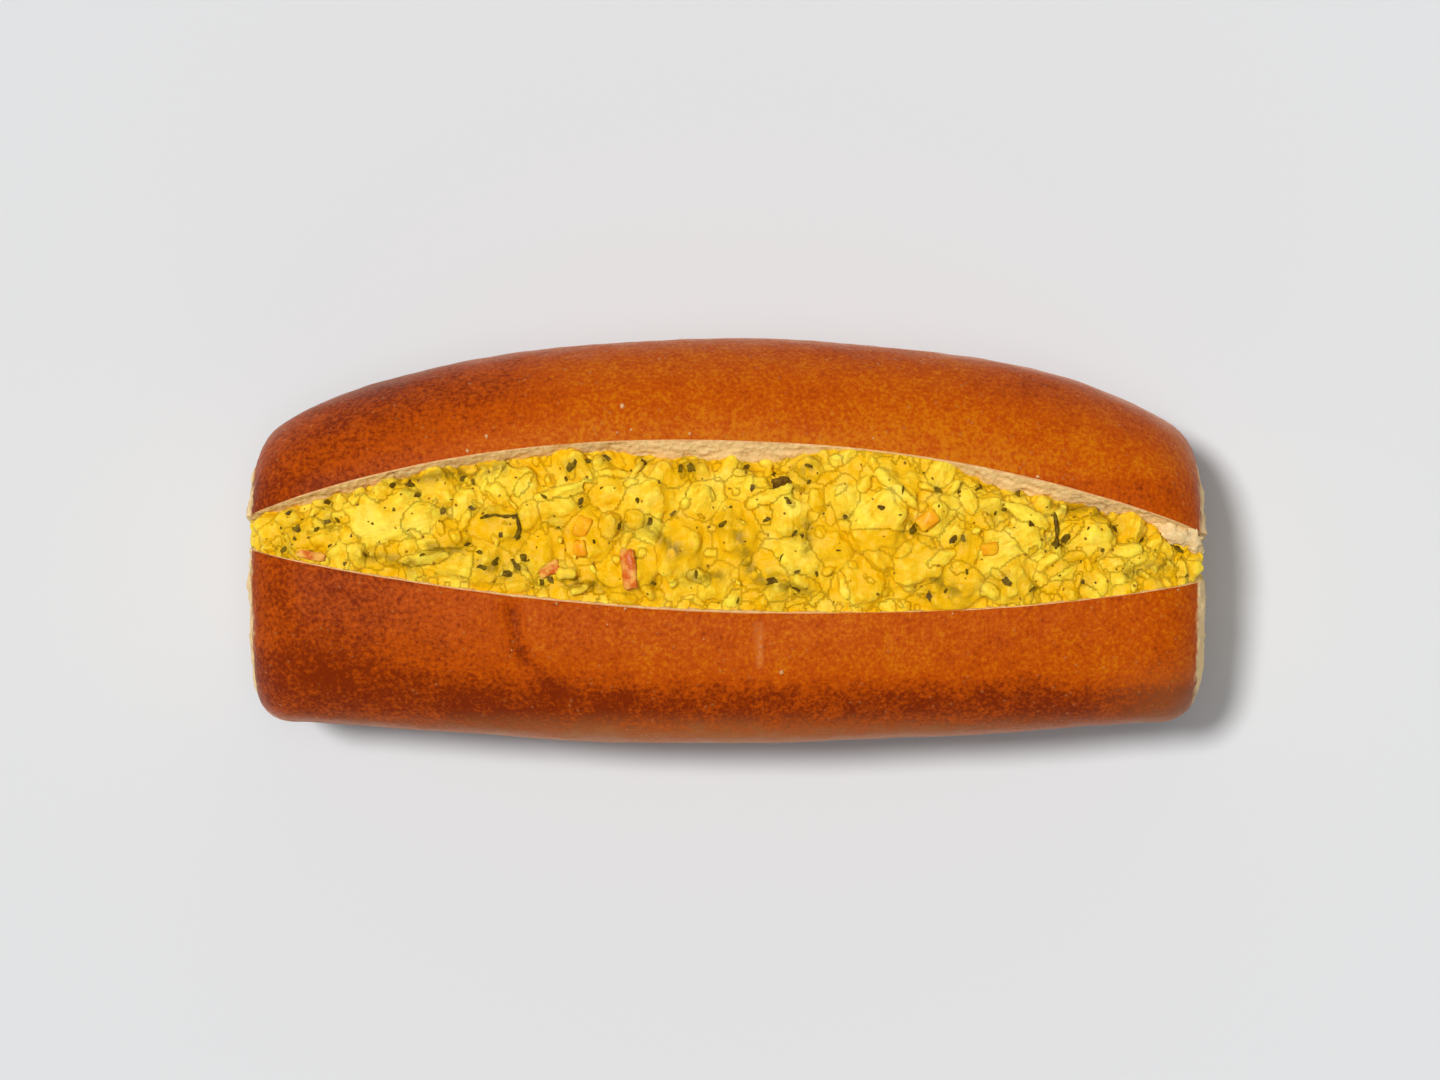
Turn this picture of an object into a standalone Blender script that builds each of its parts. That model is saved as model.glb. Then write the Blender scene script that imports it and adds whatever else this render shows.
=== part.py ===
"""Soft roll with a curried chicken filling, lying on its back with the cut side up.

+X runs along the roll, +Y points to its domed crown and +Z up, out of the cut. The origin is
under the middle of the roll, on the surface that it rests on. Lengths are in metres.
"""

import math
import random

import bmesh
import bpy
from mathutils import Matrix, Vector, noise

MM = 0.001

# The whole roll
LENGTH = 170 * MM
HEIGHT = 57 * MM
REACH = 36.2 * MM  # from the middle out to the crown's dome, and to the flat base
STATIONS = 50  # sections along the roll
CORNER_STATIONS = 5  # of which this many round each end
ARC_STEPS = 8  # steps round each quarter of a section

# Plan of the crown's dome: full in the middle, drawn in towards both ends
CROWN_END_REACH = 13.8 * MM
CROWN_SPAN = 85.5 * MM
CROWN_FULLNESS = 2.2
CROWN_SHOULDER = 0.6

# Plan of the base: nearly straight
BASE_DRAW_IN = 4.3 * MM
BASE_BOW = 1.5

# Section: how far below the top the crown and the base reach out furthest, and how boxy each is
CROWN_DROP = 23 * MM
BASE_DROP = 20 * MM
CROWN_FRONT_POWER = 2.15
CROWN_BACK_POWER = 2.2
BASE_FRONT_POWER = 2.7
BASE_BACK_POWER = 2.7
FLAT_HALF_WIDTH = 17 * MM  # half of the flat that the roll rests on
FLAT_END_HALF_WIDTH = 8 * MM
LIP_MARGIN = 1.5 * MM  # the top starts to curve down this far inside each lip
CROWN_SIDE_LEAST = 9 * MM  # and at least this far in from the outline
BASE_SIDE_LEAST = 11 * MM

# Blunt ends, where the roll touched its neighbours in the oven
CROWN_CORNER = 5 * MM
BASE_CORNER = 8 * MM
TOP_CORNER = 12 * MM
BOTTOM_CORNER = 14 * MM
TOP_DROOP = 3 * MM  # the top is this much lower at the ends
END_CLEARANCE = 0.02 * MM

# Soft unevenness of the crust, and its two creases on the base side
CRUST_SWELL = 0.5 * MM
CRUST_SWELL_SIZE = 26 * MM
CREASE_DEPTH = 0.9 * MM
CREASE_WIDTH = 2.4 * MM
CREASES = (
    ((-33 * MM, -13 * MM), (-38 * MM, -19 * MM), (-37 * MM, -27 * MM), (-30 * MM, -31 * MM)),
    ((5.4 * MM, -12 * MM), (5.4 * MM, -21 * MM), (6.5 * MM, -27 * MM)),
)

# The cut: each lip's furthest point from the roll's middle line, where along the roll that is,
# and how far the lip has come back by the left and the right end
CROWN_LIP = {"peak": 17.6 * MM, "at": -8 * MM, "left": 13.4 * MM, "right": 16.6 * MM, "bow": 2.15}
BASE_LIP = {"peak": -12.5 * MM, "at": 20 * MM, "left": -11.2 * MM, "right": -5.6 * MM, "bow": 2.1}
CUT_FLOOR = 14 * MM  # height of the bread left under the cut, which is the hinge
CUT_FLOOR_HALF_WIDTH = 3.2 * MM
CUT_FLOOR_END_HALF_WIDTH = 1.3 * MM
CUT_FLOOR_ROUND = 1.2 * MM  # the floor of the cut is this much deeper in its middle
CUT_LEAN = 0.3  # the foot of the cut, as a share of where its mouth is across the roll
CROWN_FLARE = 2.6 * MM  # the crumb is pressed outwards near each lip
BASE_FLARE = 1.1 * MM
FLARE_DEPTH = 5 * MM
FLARE_MOST = 0.4  # and by no more than this share of the wall's lean
BARE_CRUMB_AT = 2 * MM  # here the crown's crumb is pressed out further, and shows as a pale band
BARE_CRUMB_HALF_SPAN = 18 * MM
BARE_CRUMB_BY = 2.3 * MM
CUT_OVERRUN = 12 * MM
CUT_STATIONS = 30

# The filling: a core in the cut, heaped with pieces of chicken
GAP = 0.3 * MM
FILLING_INSET = 1.6 * MM  # the filling stops this far short of each end
FILLING_STATIONS = 44
FILLING_ACROSS = 8
RIM_BELOW_CROWN = 3.6 * MM
RIM_BELOW_BASE = 1.2 * MM
HEAPED_AT = 28 * MM  # here the filling is heaped right up to the crown's lip
HEAPED_HALF_SPAN = 15 * MM
HEAPED_BY = 3.2 * MM
BARE_FROM = 62 * MM  # from here to the right end it sinks away from the crown
BARE_BY = 4.5 * MM
MOUND = 2.6 * MM
FILLING_SWELL = 1.1 * MM
FILLING_SWELL_SIZE = 11 * MM
SWELL_ACROSS = 25 * MM  # nominal width of the heap, for the pattern of its swells
SEED = 7
PIECE_MARGIN = 4 * MM  # no piece is centred closer to an end than this
GOLDEN = 0.618034  # steps by this share spread the pieces evenly across the heap
PRESSED_GAP = 0.5 * MM  # pieces are pressed flat this far off the walls

# Chicken, cut and torn into lumps
CHUNKS = 52
CHUNK_HALF_LENGTH = (3.2 * MM, 6.6 * MM)
CHUNK_WIDTH_SHARE = (0.6, 0.9)  # of its length
CHUNK_HEIGHT_SHARE = (0.5, 0.7)
CHUNK_END_SHARE = 0.55  # pieces near the ends are this share of the size
CHUNK_BOXINESS = 3.2
CHUNK_GIRTH = 0.86  # of the box that it is measured by
CHUNK_DENTS = 0.22
CHUNK_DENT_SCALE = 1.3
CHUNK_SUNK = 0.35  # of its half height, below the core's top
CHUNK_TILT = 0.4
CHUNK_MARGIN = 0.12  # share of the heap's width left free of pieces' centres at each wall

# The largest lumps: place along and across the roll, half sizes and turn in degrees
LUMPS = (
    (-59 * MM, 3.6 * MM, (8.0 * MM, 5.4 * MM, 3.6 * MM), 12),
    (-47 * MM, -3.5 * MM, (5.2 * MM, 3.4 * MM, 3.0 * MM), -8),
    (-14 * MM, 6.0 * MM, (6.0 * MM, 4.4 * MM, 3.2 * MM), 30),
    (13 * MM, -2.5 * MM, (5.6 * MM, 4.6 * MM, 3.4 * MM), -35),
    (27 * MM, 3.5 * MM, (6.2 * MM, 4.8 * MM, 3.4 * MM), 50),
    (47 * MM, -2.5 * MM, (5.4 * MM, 4.0 * MM, 3.2 * MM), 15),
    (63 * MM, 0.5 * MM, (4.8 * MM, 3.4 * MM, 2.8 * MM), -12),
)

# Diced red pepper: place along and across the roll, half length, half width and turn in degrees
PEPPER_HALF_THICKNESS = 1.2 * MM
PEPPER_TILT = 0.2
PEPPERS = (
    (-16.8 * MM, -5.6 * MM, 4.2 * MM, 1.6 * MM, 96),
    (-31.0 * MM, -4.6 * MM, 2.4 * MM, 1.5 * MM, 20),
    (-25.0 * MM, 3.8 * MM, 2.2 * MM, 1.6 * MM, 70),
    (35.6 * MM, 3.2 * MM, 2.4 * MM, 1.7 * MM, 35),
    (-70.5 * MM, -0.9 * MM, 2.6 * MM, 0.9 * MM, 8),
    (52.0 * MM, -2.6 * MM, 2.0 * MM, 1.3 * MM, 120),
)

# Chopped herb flakes lying on the heap
HERBS = 30
HERB_HALF_LENGTH = (0.8 * MM, 1.7 * MM)
HERB_HALF_WIDTH = 0.6 * MM
HERB_HALF_THICKNESS = 0.9 * MM
HERB_SIDES = 5
HERB_TAPER = 0.7
HERB_TILT = 0.3
HERB_MARGIN = 0.15
HERB_START = 0.2  # the first flake's place across the heap
TOPPING_PROUD = 0.3  # pepper and herb are sunk by all but this share of their half thickness

# Finishes
CRUST_COLOUR = (0.552, 0.093, 0.004, 1)
CRUST_ROUGHNESS = 0.42
FILLING_COLOUR = (0.82, 0.49, 0.013, 1)
FILLING_ROUGHNESS = 0.5
SMOOTH_BELOW = 40  # degrees


# ---------------------------------------------------------------- outline of the roll


def rounding(distance_to_end, radius):
    """How far a corner of this radius has pulled the surface in, near an end."""
    inside = radius - min(distance_to_end, radius)
    return radius - math.sqrt(radius * radius - inside * inside)


def to_end(x):
    return max(LENGTH / 2 - abs(x), 0.0)


def crown_reach(x):
    share = min(abs(x) / CROWN_SPAN, 1.0)
    fullness = (1 - share**CROWN_FULLNESS) ** CROWN_SHOULDER
    reach = CROWN_END_REACH + (REACH - CROWN_END_REACH) * fullness
    return reach - rounding(to_end(x), CROWN_CORNER)


def base_reach(x):
    drawn_in = BASE_DRAW_IN * (2 * abs(x) / LENGTH) ** BASE_BOW
    return REACH - drawn_in - rounding(to_end(x), BASE_CORNER)


def top_height(x):
    droop = TOP_DROOP * (2 * abs(x) / LENGTH) ** 3
    return HEIGHT - droop - rounding(to_end(x), TOP_CORNER)


def lip(curve, x):
    """Place across the roll of one edge of the cut."""
    side = "left" if x < curve["at"] else "right"
    span = LENGTH / 2 + (curve["at"] if side == "left" else -curve["at"])
    return curve["peak"] - curve[side] * (abs(x - curve["at"]) / span) ** curve["bow"]


def flat_half_width(x):
    share = (2 * abs(x) / LENGTH) ** 2
    return FLAT_HALF_WIDTH + (FLAT_END_HALF_WIDTH - FLAT_HALF_WIDTH) * share


def quarter(centre, radii, power, start):
    """Points on a quarter of a superellipse, from the angle start, in quarter turns, onwards."""
    points = []
    for step in range(ARC_STEPS):
        angle = (start + step / ARC_STEPS) * math.pi / 2
        cos, sin = math.cos(angle), math.sin(angle)
        across = math.copysign(abs(cos) ** (2 / power), cos) * radii[0]
        up = math.copysign(abs(sin) ** (2 / power), sin) * radii[1]
        points.append((centre[0] + across, centre[1] + up))
    return points


def roll_section(x):
    """Outline of the uncut roll at x, as (y, z), from the crown's side round over the top."""
    top, floor = top_height(x), rounding(to_end(x), BOTTOM_CORNER)
    crown, base, flat = crown_reach(x), base_reach(x), flat_half_width(x)
    crown_middle = min(lip(CROWN_LIP, x) - LIP_MARGIN, crown - CROWN_SIDE_LEAST)
    base_middle = max(lip(BASE_LIP, x) + LIP_MARGIN, BASE_SIDE_LEAST - base)
    crown_level, base_level = top - CROWN_DROP, top - BASE_DROP
    return [
        *quarter((crown_middle, crown_level), (crown - crown_middle, CROWN_DROP), CROWN_FRONT_POWER, 0),
        (crown_middle, top),
        *quarter((base_middle, base_level), (base + base_middle, BASE_DROP), BASE_FRONT_POWER, 1),
        *quarter((-flat, base_level), (base - flat, base_level - floor), BASE_BACK_POWER, 2),
        (-flat, floor),
        *quarter((flat, crown_level), (crown - flat, crown_level - floor), CROWN_BACK_POWER, 3),
    ]


def distance_to_path(point, path):
    nearest = math.inf
    for start, end in zip(path, path[1:]):
        a, b = Vector(start), Vector(end)
        share = max(0.0, min(1.0, (point - a).dot(b - a) / (b - a).length_squared))
        nearest = min(nearest, (point - a.lerp(b, share)).length)
    return nearest


def relax_crust(roll):
    """Gives the crust its soft swells and its creases, and leaves the flat and the ends alone."""
    roll.data.update()
    for vertex in roll.data.vertices:
        place = vertex.co
        if place.z < CUT_FLOOR or to_end(place.x) < TOP_CORNER:
            continue
        fade = min(1.0, (place.z - CUT_FLOOR) / CUT_FLOOR)
        move = -CRUST_SWELL * (0.5 + noise.noise(place / CRUST_SWELL_SIZE)) * fade
        if place.z > HEIGHT - CROWN_DROP:
            for path in CREASES:
                near = distance_to_path(Vector((place.x, place.y)), path) / CREASE_WIDTH
                move -= CREASE_DEPTH * math.exp(-near * near)
        vertex.co = place + vertex.normal * move


# ---------------------------------------------------------------- the cut


def cut_half_width_at_floor(x):
    share = min(2 * abs(x) / LENGTH, 1.0) ** 2
    return CUT_FLOOR_HALF_WIDTH + (CUT_FLOOR_END_HALF_WIDTH - CUT_FLOOR_HALF_WIDTH) * share


def cut_middle(x):
    return (lip(CROWN_LIP, x) + lip(BASE_LIP, x)) * CUT_LEAN


def crown_flare(x):
    return CROWN_FLARE + BARE_CRUMB_BY * math.exp(-(((x - BARE_CRUMB_AT) / BARE_CRUMB_HALF_SPAN) ** 4))


def cut_wall(x, z, side):
    """Place across the roll of a wall of the cut: side is 1 for the crown's and -1 for the base's."""
    edge = lip(CROWN_LIP if side > 0 else BASE_LIP, x)
    foot = cut_middle(x) + side * cut_half_width_at_floor(x)
    flare = min(crown_flare(x) if side > 0 else BASE_FLARE, FLARE_MOST * abs(edge - foot))
    throat = edge - side * flare
    bend = top_height(x) - FLARE_DEPTH
    if z > bend:
        return throat + (edge - throat) * (z - bend) / FLARE_DEPTH
    return foot + (throat - foot) * (z - CUT_FLOOR) / (bend - CUT_FLOOR)


def cut_section(x):
    """Outline of the tool that opens the roll at x, reaching above its top."""
    inside = max(-LENGTH / 2, min(LENGTH / 2, x))
    top = top_height(inside)
    levels = (CUT_FLOOR, top - FLARE_DEPTH, top, top + CUT_OVERRUN)
    crown_side = [(cut_wall(inside, z, 1), z) for z in levels]
    base_side = [(cut_wall(inside, z, -1), z) for z in reversed(levels)]
    return crown_side + base_side + [(cut_middle(inside), CUT_FLOOR - CUT_FLOOR_ROUND)]


# ---------------------------------------------------------------- mesh helpers


def spread(count, start, end):
    return [start + (end - start) * i / (count - 1) for i in range(count)]


def roll_stations():
    """Stations that crowd towards the rounded ends."""
    half = LENGTH / 2 - END_CLEARANCE
    inner_end = half - BOTTOM_CORNER
    turns = [math.pi / 2 * i / CORNER_STATIONS for i in range(CORNER_STATIONS)]
    ends = [half - BOTTOM_CORNER * (1 - math.cos(turn)) for turn in turns]
    inner = spread(STATIONS - 2 * CORNER_STATIONS, -inner_end, inner_end)
    return [-x for x in ends] + inner + list(reversed(ends))


def loft(name, stations, section):
    """A closed body through the same number of points at each station."""
    shape = bmesh.new()
    rings = []
    for x in stations:
        rings.append([shape.verts.new((x, y, z)) for y, z in section(x)])
    count = len(rings[0])
    for ring, after in zip(rings, rings[1:]):
        for i in range(count):
            j = (i + 1) % count
            shape.faces.new((ring[i], ring[j], after[j], after[i]))
    shape.faces.new(rings[0])
    shape.faces.new(rings[-1])
    bmesh.ops.recalc_face_normals(shape, faces=shape.faces)
    return as_object(name, shape)


def as_object(name, shape):
    mesh = bpy.data.meshes.new(name)
    shape.to_mesh(mesh)
    shape.free()
    return bpy.data.objects.new(name, mesh)


def collection(name):
    made = bpy.data.collections.new(name)
    bpy.context.scene.collection.children.link(made)
    return made


def apply_boolean(body, operation, tool=None, tools=None):
    """Cuts or joins for good, with one tool or with a collection of them, and removes the tools."""
    modifier = body.modifiers.new(operation.title(), "BOOLEAN")
    modifier.operation = operation
    modifier.solver = "EXACT"
    if tools:
        modifier.operand_type = "COLLECTION"
        modifier.collection = tools
    else:
        modifier.object = tool
    bpy.context.view_layer.update()
    graph = bpy.context.evaluated_depsgraph_get()
    mesh = bpy.data.meshes.new_from_object(body.evaluated_get(graph))
    body.modifiers.clear()
    body.data = mesh
    for used in list(tools.objects) if tools else [tool]:
        bpy.data.objects.remove(used)


def drop_scraps(body):
    """Keeps only the largest connected piece of a mesh."""
    shape = bmesh.new()
    shape.from_mesh(body.data)
    waiting, pieces = set(shape.verts), []
    while waiting:
        front = [waiting.pop()]
        piece = list(front)
        while front:
            vertex = front.pop()
            near = {edge.other_vert(vertex) for edge in vertex.link_edges}
            fresh = near & waiting
            waiting.difference_update(fresh)
            front += fresh
            piece += fresh
        pieces.append(piece)
    pieces.sort(key=len)
    for piece in pieces[:-1]:
        bmesh.ops.delete(shape, geom=piece, context="VERTS")
    shape.to_mesh(body.data)
    shape.free()


def material(name, colour, roughness):
    made = bpy.data.materials.new(name)
    made.use_nodes = True
    shader = made.node_tree.nodes["Principled BSDF"]
    shader.inputs["Base Color"].default_value = colour
    shader.inputs["Roughness"].default_value = roughness
    shader.inputs["Metallic"].default_value = 0.0
    return made


def finish(body, look):
    body.data.materials.clear()
    body.data.materials.append(look)
    body.data.shade_smooth()
    body.data.set_sharp_from_angle(angle=math.radians(SMOOTH_BELOW))


# ---------------------------------------------------------------- the bun


def make_bun(parts, tools):
    bun = loft("bun", roll_stations(), roll_section)
    parts.objects.link(bun)
    relax_crust(bun)
    reach = LENGTH / 2 + CUT_OVERRUN
    stations = [-reach, *spread(CUT_STATIONS, -LENGTH / 2, LENGTH / 2), reach]
    cutter = loft("cut", stations, cut_section)
    tools.objects.link(cutter)
    apply_boolean(bun, "DIFFERENCE", tool=cutter)
    finish(bun, material("Crust", CRUST_COLOUR, CRUST_ROUGHNESS))
    return bun


# ---------------------------------------------------------------- the filling


def rim_below_crown(x):
    """How far below the crown's lip the filling meets its wall."""
    heaped = HEAPED_BY * math.exp(-(((x - HEAPED_AT) / HEAPED_HALF_SPAN) ** 4))
    bare = BARE_BY * max(0.0, (x - BARE_FROM) / (LENGTH / 2 - BARE_FROM))
    return RIM_BELOW_CROWN - heaped + bare


def heap_height(x, share):
    """Height of the filling's core, share running from 0 at the crown's wall to 1 at the base's."""
    rim = rim_below_crown(x) * (1 - share) + RIM_BELOW_BASE * share
    width = (lip(CROWN_LIP, x) - lip(BASE_LIP, x)) / (CROWN_LIP["peak"] - BASE_LIP["peak"])
    mound = MOUND * width * math.sin(math.pi * share)
    swell = noise.noise(Vector((x, share * SWELL_ACROSS, 0)) / FILLING_SWELL_SIZE) * FILLING_SWELL
    return top_height(x) - rim + mound + swell * math.sin(math.pi * share)


def heap_place(x, share):
    """Point on the core's top, clear of both walls by the gap."""
    z = heap_height(x, share)
    crown, base = cut_wall(x, z, 1) - GAP, cut_wall(x, z, -1) + GAP
    return Vector((x, crown + (base - crown) * share, z))


def heap_above(x, y):
    """The core's top at a place in plan."""
    crown, base = lip(CROWN_LIP, x), lip(BASE_LIP, x)
    return Vector((x, y, heap_height(x, max(0.0, min(1.0, (crown - y) / (crown - base))))))


def core_section(x):
    floor = CUT_FLOOR + GAP
    crown_top, base_top = heap_place(x, 0), heap_place(x, 1)
    bend = top_height(x) - FLARE_DEPTH
    crown_bend = min(bend, crown_top.z - GAP)
    base_bend = min(bend, base_top.z - GAP)
    top = [heap_place(x, i / FILLING_ACROSS) for i in range(FILLING_ACROSS + 1)]
    crown_side = [(cut_wall(x, z, 1) - GAP, z) for z in (floor, crown_bend)]
    base_side = [(cut_wall(x, z, -1) + GAP, z) for z in (base_bend, floor)]
    return crown_side + [(point.y, point.z) for point in top] + base_side


def press_into_cut(shape):
    """Flattens a piece against the walls of the cut, as the bread presses it."""
    half = LENGTH / 2 - FILLING_INSET
    for vertex in shape.verts:
        x, y, z = vertex.co
        x = max(-half, min(half, x))
        most, least = cut_wall(x, z, 1) - PRESSED_GAP, cut_wall(x, z, -1) + PRESSED_GAP
        vertex.co = (x, max(least, min(most, y)), z)


def chunk_shape(size, draw):
    """An uneven, blocky lump of chicken, about as large as size says each way."""
    shape = bmesh.new()
    bmesh.ops.create_icosphere(shape, subdivisions=2, radius=1)
    shift = Vector(draw.uniform(0, 90) for _ in range(3))
    for vertex in shape.verts:
        way = vertex.co.normalized()
        total = sum(abs(part) ** CHUNK_BOXINESS for part in way) ** (1 / CHUNK_BOXINESS)
        bulge = CHUNK_GIRTH + CHUNK_DENTS * noise.noise(way * CHUNK_DENT_SCALE + shift)
        vertex.co = Vector(a * b for a, b in zip(way / total * bulge, size))
    return shape


def put(tools, name, shape, place, turn):
    shape.transform(Matrix.Translation(place) @ turn)
    press_into_cut(shape)
    tools.objects.link(as_object(name, shape))


def tumble(draw, tilt):
    """A random turn about the vertical, with a small tilt."""
    turn = Matrix.Rotation(draw.uniform(0, math.tau), 4, "Z")
    return turn @ Matrix.Rotation(draw.uniform(-tilt, tilt), 4, "X")


def spot(i, count, margin, start):
    """Place on the core for one of many pieces: in even steps along it, and spread across it."""
    x = (LENGTH / 2 - PIECE_MARGIN) * (2 * (i + 0.5) / count - 1)
    return heap_place(x, margin + (1 - 2 * margin) * ((start + i * GOLDEN) % 1))


def add_chunks(tools, draw):
    for i in range(CHUNKS):
        place = spot(i, CHUNKS, CHUNK_MARGIN, 0.5)
        near_end = (2 * abs(place.x) / LENGTH) ** 3
        half = draw.uniform(*CHUNK_HALF_LENGTH) * (1 + (CHUNK_END_SHARE - 1) * near_end)
        width, height = draw.uniform(*CHUNK_WIDTH_SHARE), draw.uniform(*CHUNK_HEIGHT_SHARE)
        size = Vector((half, half * width, half * height))
        place.z -= size.z * CHUNK_SUNK
        put(tools, f"chunk_{i:02d}", chunk_shape(size, draw), place, tumble(draw, CHUNK_TILT))


def add_lumps(tools, draw):
    for i, (x, y, size, turn) in enumerate(LUMPS):
        place = heap_above(x, y)
        place.z -= size[2] * CHUNK_SUNK
        turned = Matrix.Rotation(math.radians(turn), 4, "Z")
        put(tools, f"lump_{i}", chunk_shape(size, draw), place, turned)


def lying_on(heap, x, y):
    """The heap's top surface at this place in plan."""
    return heap.ray_cast(Vector((x, y, 2 * HEIGHT)), Vector((0, 0, -1)))[1]


def add_peppers(tools, heap, draw):
    for i, (x, y, half_length, half_width, turn) in enumerate(PEPPERS):
        place = lying_on(heap, x, y)
        place.z += PEPPER_HALF_THICKNESS * TOPPING_PROUD
        shape = bmesh.new()
        bmesh.ops.create_cube(shape, size=2)
        size = Vector((half_length, half_width, PEPPER_HALF_THICKNESS))
        bmesh.ops.scale(shape, vec=size, verts=shape.verts)
        tilt = Matrix.Rotation(draw.uniform(-PEPPER_TILT, PEPPER_TILT), 4, "Y")
        put(tools, f"pepper_{i}", shape, place, Matrix.Rotation(math.radians(turn), 4, "Z") @ tilt)


def add_herbs(tools, heap, draw):
    for i in range(HERBS):
        over = spot(i, HERBS, HERB_MARGIN, HERB_START)
        place = lying_on(heap, over.x, over.y)
        place.z += HERB_HALF_THICKNESS * TOPPING_PROUD
        shape = bmesh.new()
        bmesh.ops.create_cone(
            shape,
            cap_ends=True,
            segments=HERB_SIDES,
            radius1=1,
            radius2=HERB_TAPER,
            depth=2,
        )
        size = Vector((draw.uniform(*HERB_HALF_LENGTH), HERB_HALF_WIDTH, HERB_HALF_THICKNESS))
        bmesh.ops.scale(shape, vec=size, verts=shape.verts)
        put(tools, f"herb_{i:02d}", shape, place, tumble(draw, HERB_TILT))


def make_filling(parts, tools):
    half = LENGTH / 2 - FILLING_INSET
    core = loft("filling", spread(FILLING_STATIONS, -half, half), core_section)
    parts.objects.link(core)
    draw = random.Random(SEED)
    add_chunks(tools, draw)
    add_lumps(tools, draw)
    apply_boolean(core, "UNION", tools=tools)
    add_peppers(tools, core, draw)
    add_herbs(tools, core, draw)
    apply_boolean(core, "UNION", tools=tools)
    drop_scraps(core)
    finish(core, material("Filling", FILLING_COLOUR, FILLING_ROUGHNESS))
    return core


def main():
    for old in list(bpy.data.objects):
        bpy.data.objects.remove(old)
    parts = collection("chicken_sandwich")
    make_bun(parts, collection("cutters"))
    make_filling(parts, collection("filling_pieces"))


main()
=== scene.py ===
"""Dresses a filled finger roll: soft crust and crumb, curried chicken, pepper and herbs.

The roll and its filling are the fixed solids of the frame. Everything here is in metres, with
+X along the roll, +Y towards its domed crown and +Z up, out of the cut.
"""

import functools
import math
import random

import bmesh
import bpy
import numpy as np
from bpy.props import FloatProperty, FloatVectorProperty, IntProperty, PointerProperty
from bpy.types import Operator, Panel, PropertyGroup
from mathutils import Matrix, Vector, noise
from mathutils.bvhtree import BVHTree


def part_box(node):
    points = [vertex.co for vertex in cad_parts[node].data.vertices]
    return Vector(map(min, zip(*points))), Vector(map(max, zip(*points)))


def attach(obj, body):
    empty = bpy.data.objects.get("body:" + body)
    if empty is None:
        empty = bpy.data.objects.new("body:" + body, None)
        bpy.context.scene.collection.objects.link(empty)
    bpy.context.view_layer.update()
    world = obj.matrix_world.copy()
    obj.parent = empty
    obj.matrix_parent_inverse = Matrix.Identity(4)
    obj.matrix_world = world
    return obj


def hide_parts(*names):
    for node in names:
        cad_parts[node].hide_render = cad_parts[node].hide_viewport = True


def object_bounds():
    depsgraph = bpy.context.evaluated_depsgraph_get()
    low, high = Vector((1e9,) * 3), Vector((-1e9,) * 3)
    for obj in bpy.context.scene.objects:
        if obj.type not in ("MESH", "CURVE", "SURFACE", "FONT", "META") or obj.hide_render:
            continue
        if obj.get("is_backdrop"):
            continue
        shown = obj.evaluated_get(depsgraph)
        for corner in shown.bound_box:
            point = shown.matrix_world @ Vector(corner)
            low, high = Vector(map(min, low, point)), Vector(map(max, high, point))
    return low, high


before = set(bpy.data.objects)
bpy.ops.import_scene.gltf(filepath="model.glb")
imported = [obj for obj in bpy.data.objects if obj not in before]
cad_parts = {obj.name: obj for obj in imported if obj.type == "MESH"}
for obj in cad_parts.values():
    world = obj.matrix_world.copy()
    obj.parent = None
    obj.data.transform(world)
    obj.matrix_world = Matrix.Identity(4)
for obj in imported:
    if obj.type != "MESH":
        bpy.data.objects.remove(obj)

bl_info = {
    "name": "Chicken Sandwich",
    "version": (1, 0, 0),
    "blender": (4, 5, 0),
    "location": "3D View > Sidebar > Sandwich",
    "description": "Bakes, fills and lights a finger roll with curried chicken",
    "category": "Add Mesh",
}

MM = 0.001
BODY = "root"


def in_metres(*sizes):
    """Sizes, places or rows of them that are given in millimetres."""
    return tuple(in_metres(*part) if isinstance(part, tuple) else part * MM for part in sizes)


def turned_rows(*rows):
    """Rows of places and sizes in millimetres, each ending with a turn in degrees."""
    return tuple((*in_metres(*row[:-1]), row[-1]) for row in rows)


# ---------------------------------------------------------------- the roll's own form

bun_low, bun_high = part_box("bun")
LENGTH = round(bun_high.x - bun_low.x, 3)
HEIGHT = round(bun_high.z - bun_low.z, 3)
REACH = 36.2 * MM  # from the middle out to the crown's dome, and to the flat base

# Plan of the crown, full in the middle and drawn in towards both ends, and of the straighter base
CROWN_END_REACH = 13.8 * MM
CROWN_SPAN = 85.5 * MM
CROWN_FULLNESS = 2.2
CROWN_SHOULDER = 0.6
BASE_DRAW_IN = 4.3 * MM
BASE_BOW = 1.5

# Section: how far below the top the crown and the base reach out furthest, and how boxy each is
CROWN_DROP = 23 * MM
BASE_DROP = 20 * MM
CROWN_FRONT_POWER = 2.15
CROWN_BACK_POWER = 2.2
BASE_FRONT_POWER = 2.7
BASE_BACK_POWER = 2.7
FLAT_HALF_WIDTH = 17 * MM
FLAT_END_HALF_WIDTH = 8 * MM
LIP_MARGIN = 1.5 * MM
CROWN_SIDE_LEAST = 9 * MM
BASE_SIDE_LEAST = 11 * MM
ARC_POINTS = 60  # worked out on each quarter of the section

# Both ends
CROWN_CORNER = 5 * MM
BASE_CORNER = 8 * MM
TOP_CORNER = 12 * MM
BOTTOM_CORNER = 14 * MM
TOP_DROOP = 3 * MM
END_CLEARANCE = 0.02 * MM
END_RINGS = 15  # of points round each end's lower corner
TEAR_SIZE = 5.5 * MM
FINE_TEAR_SIZE = 2.3 * MM

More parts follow.
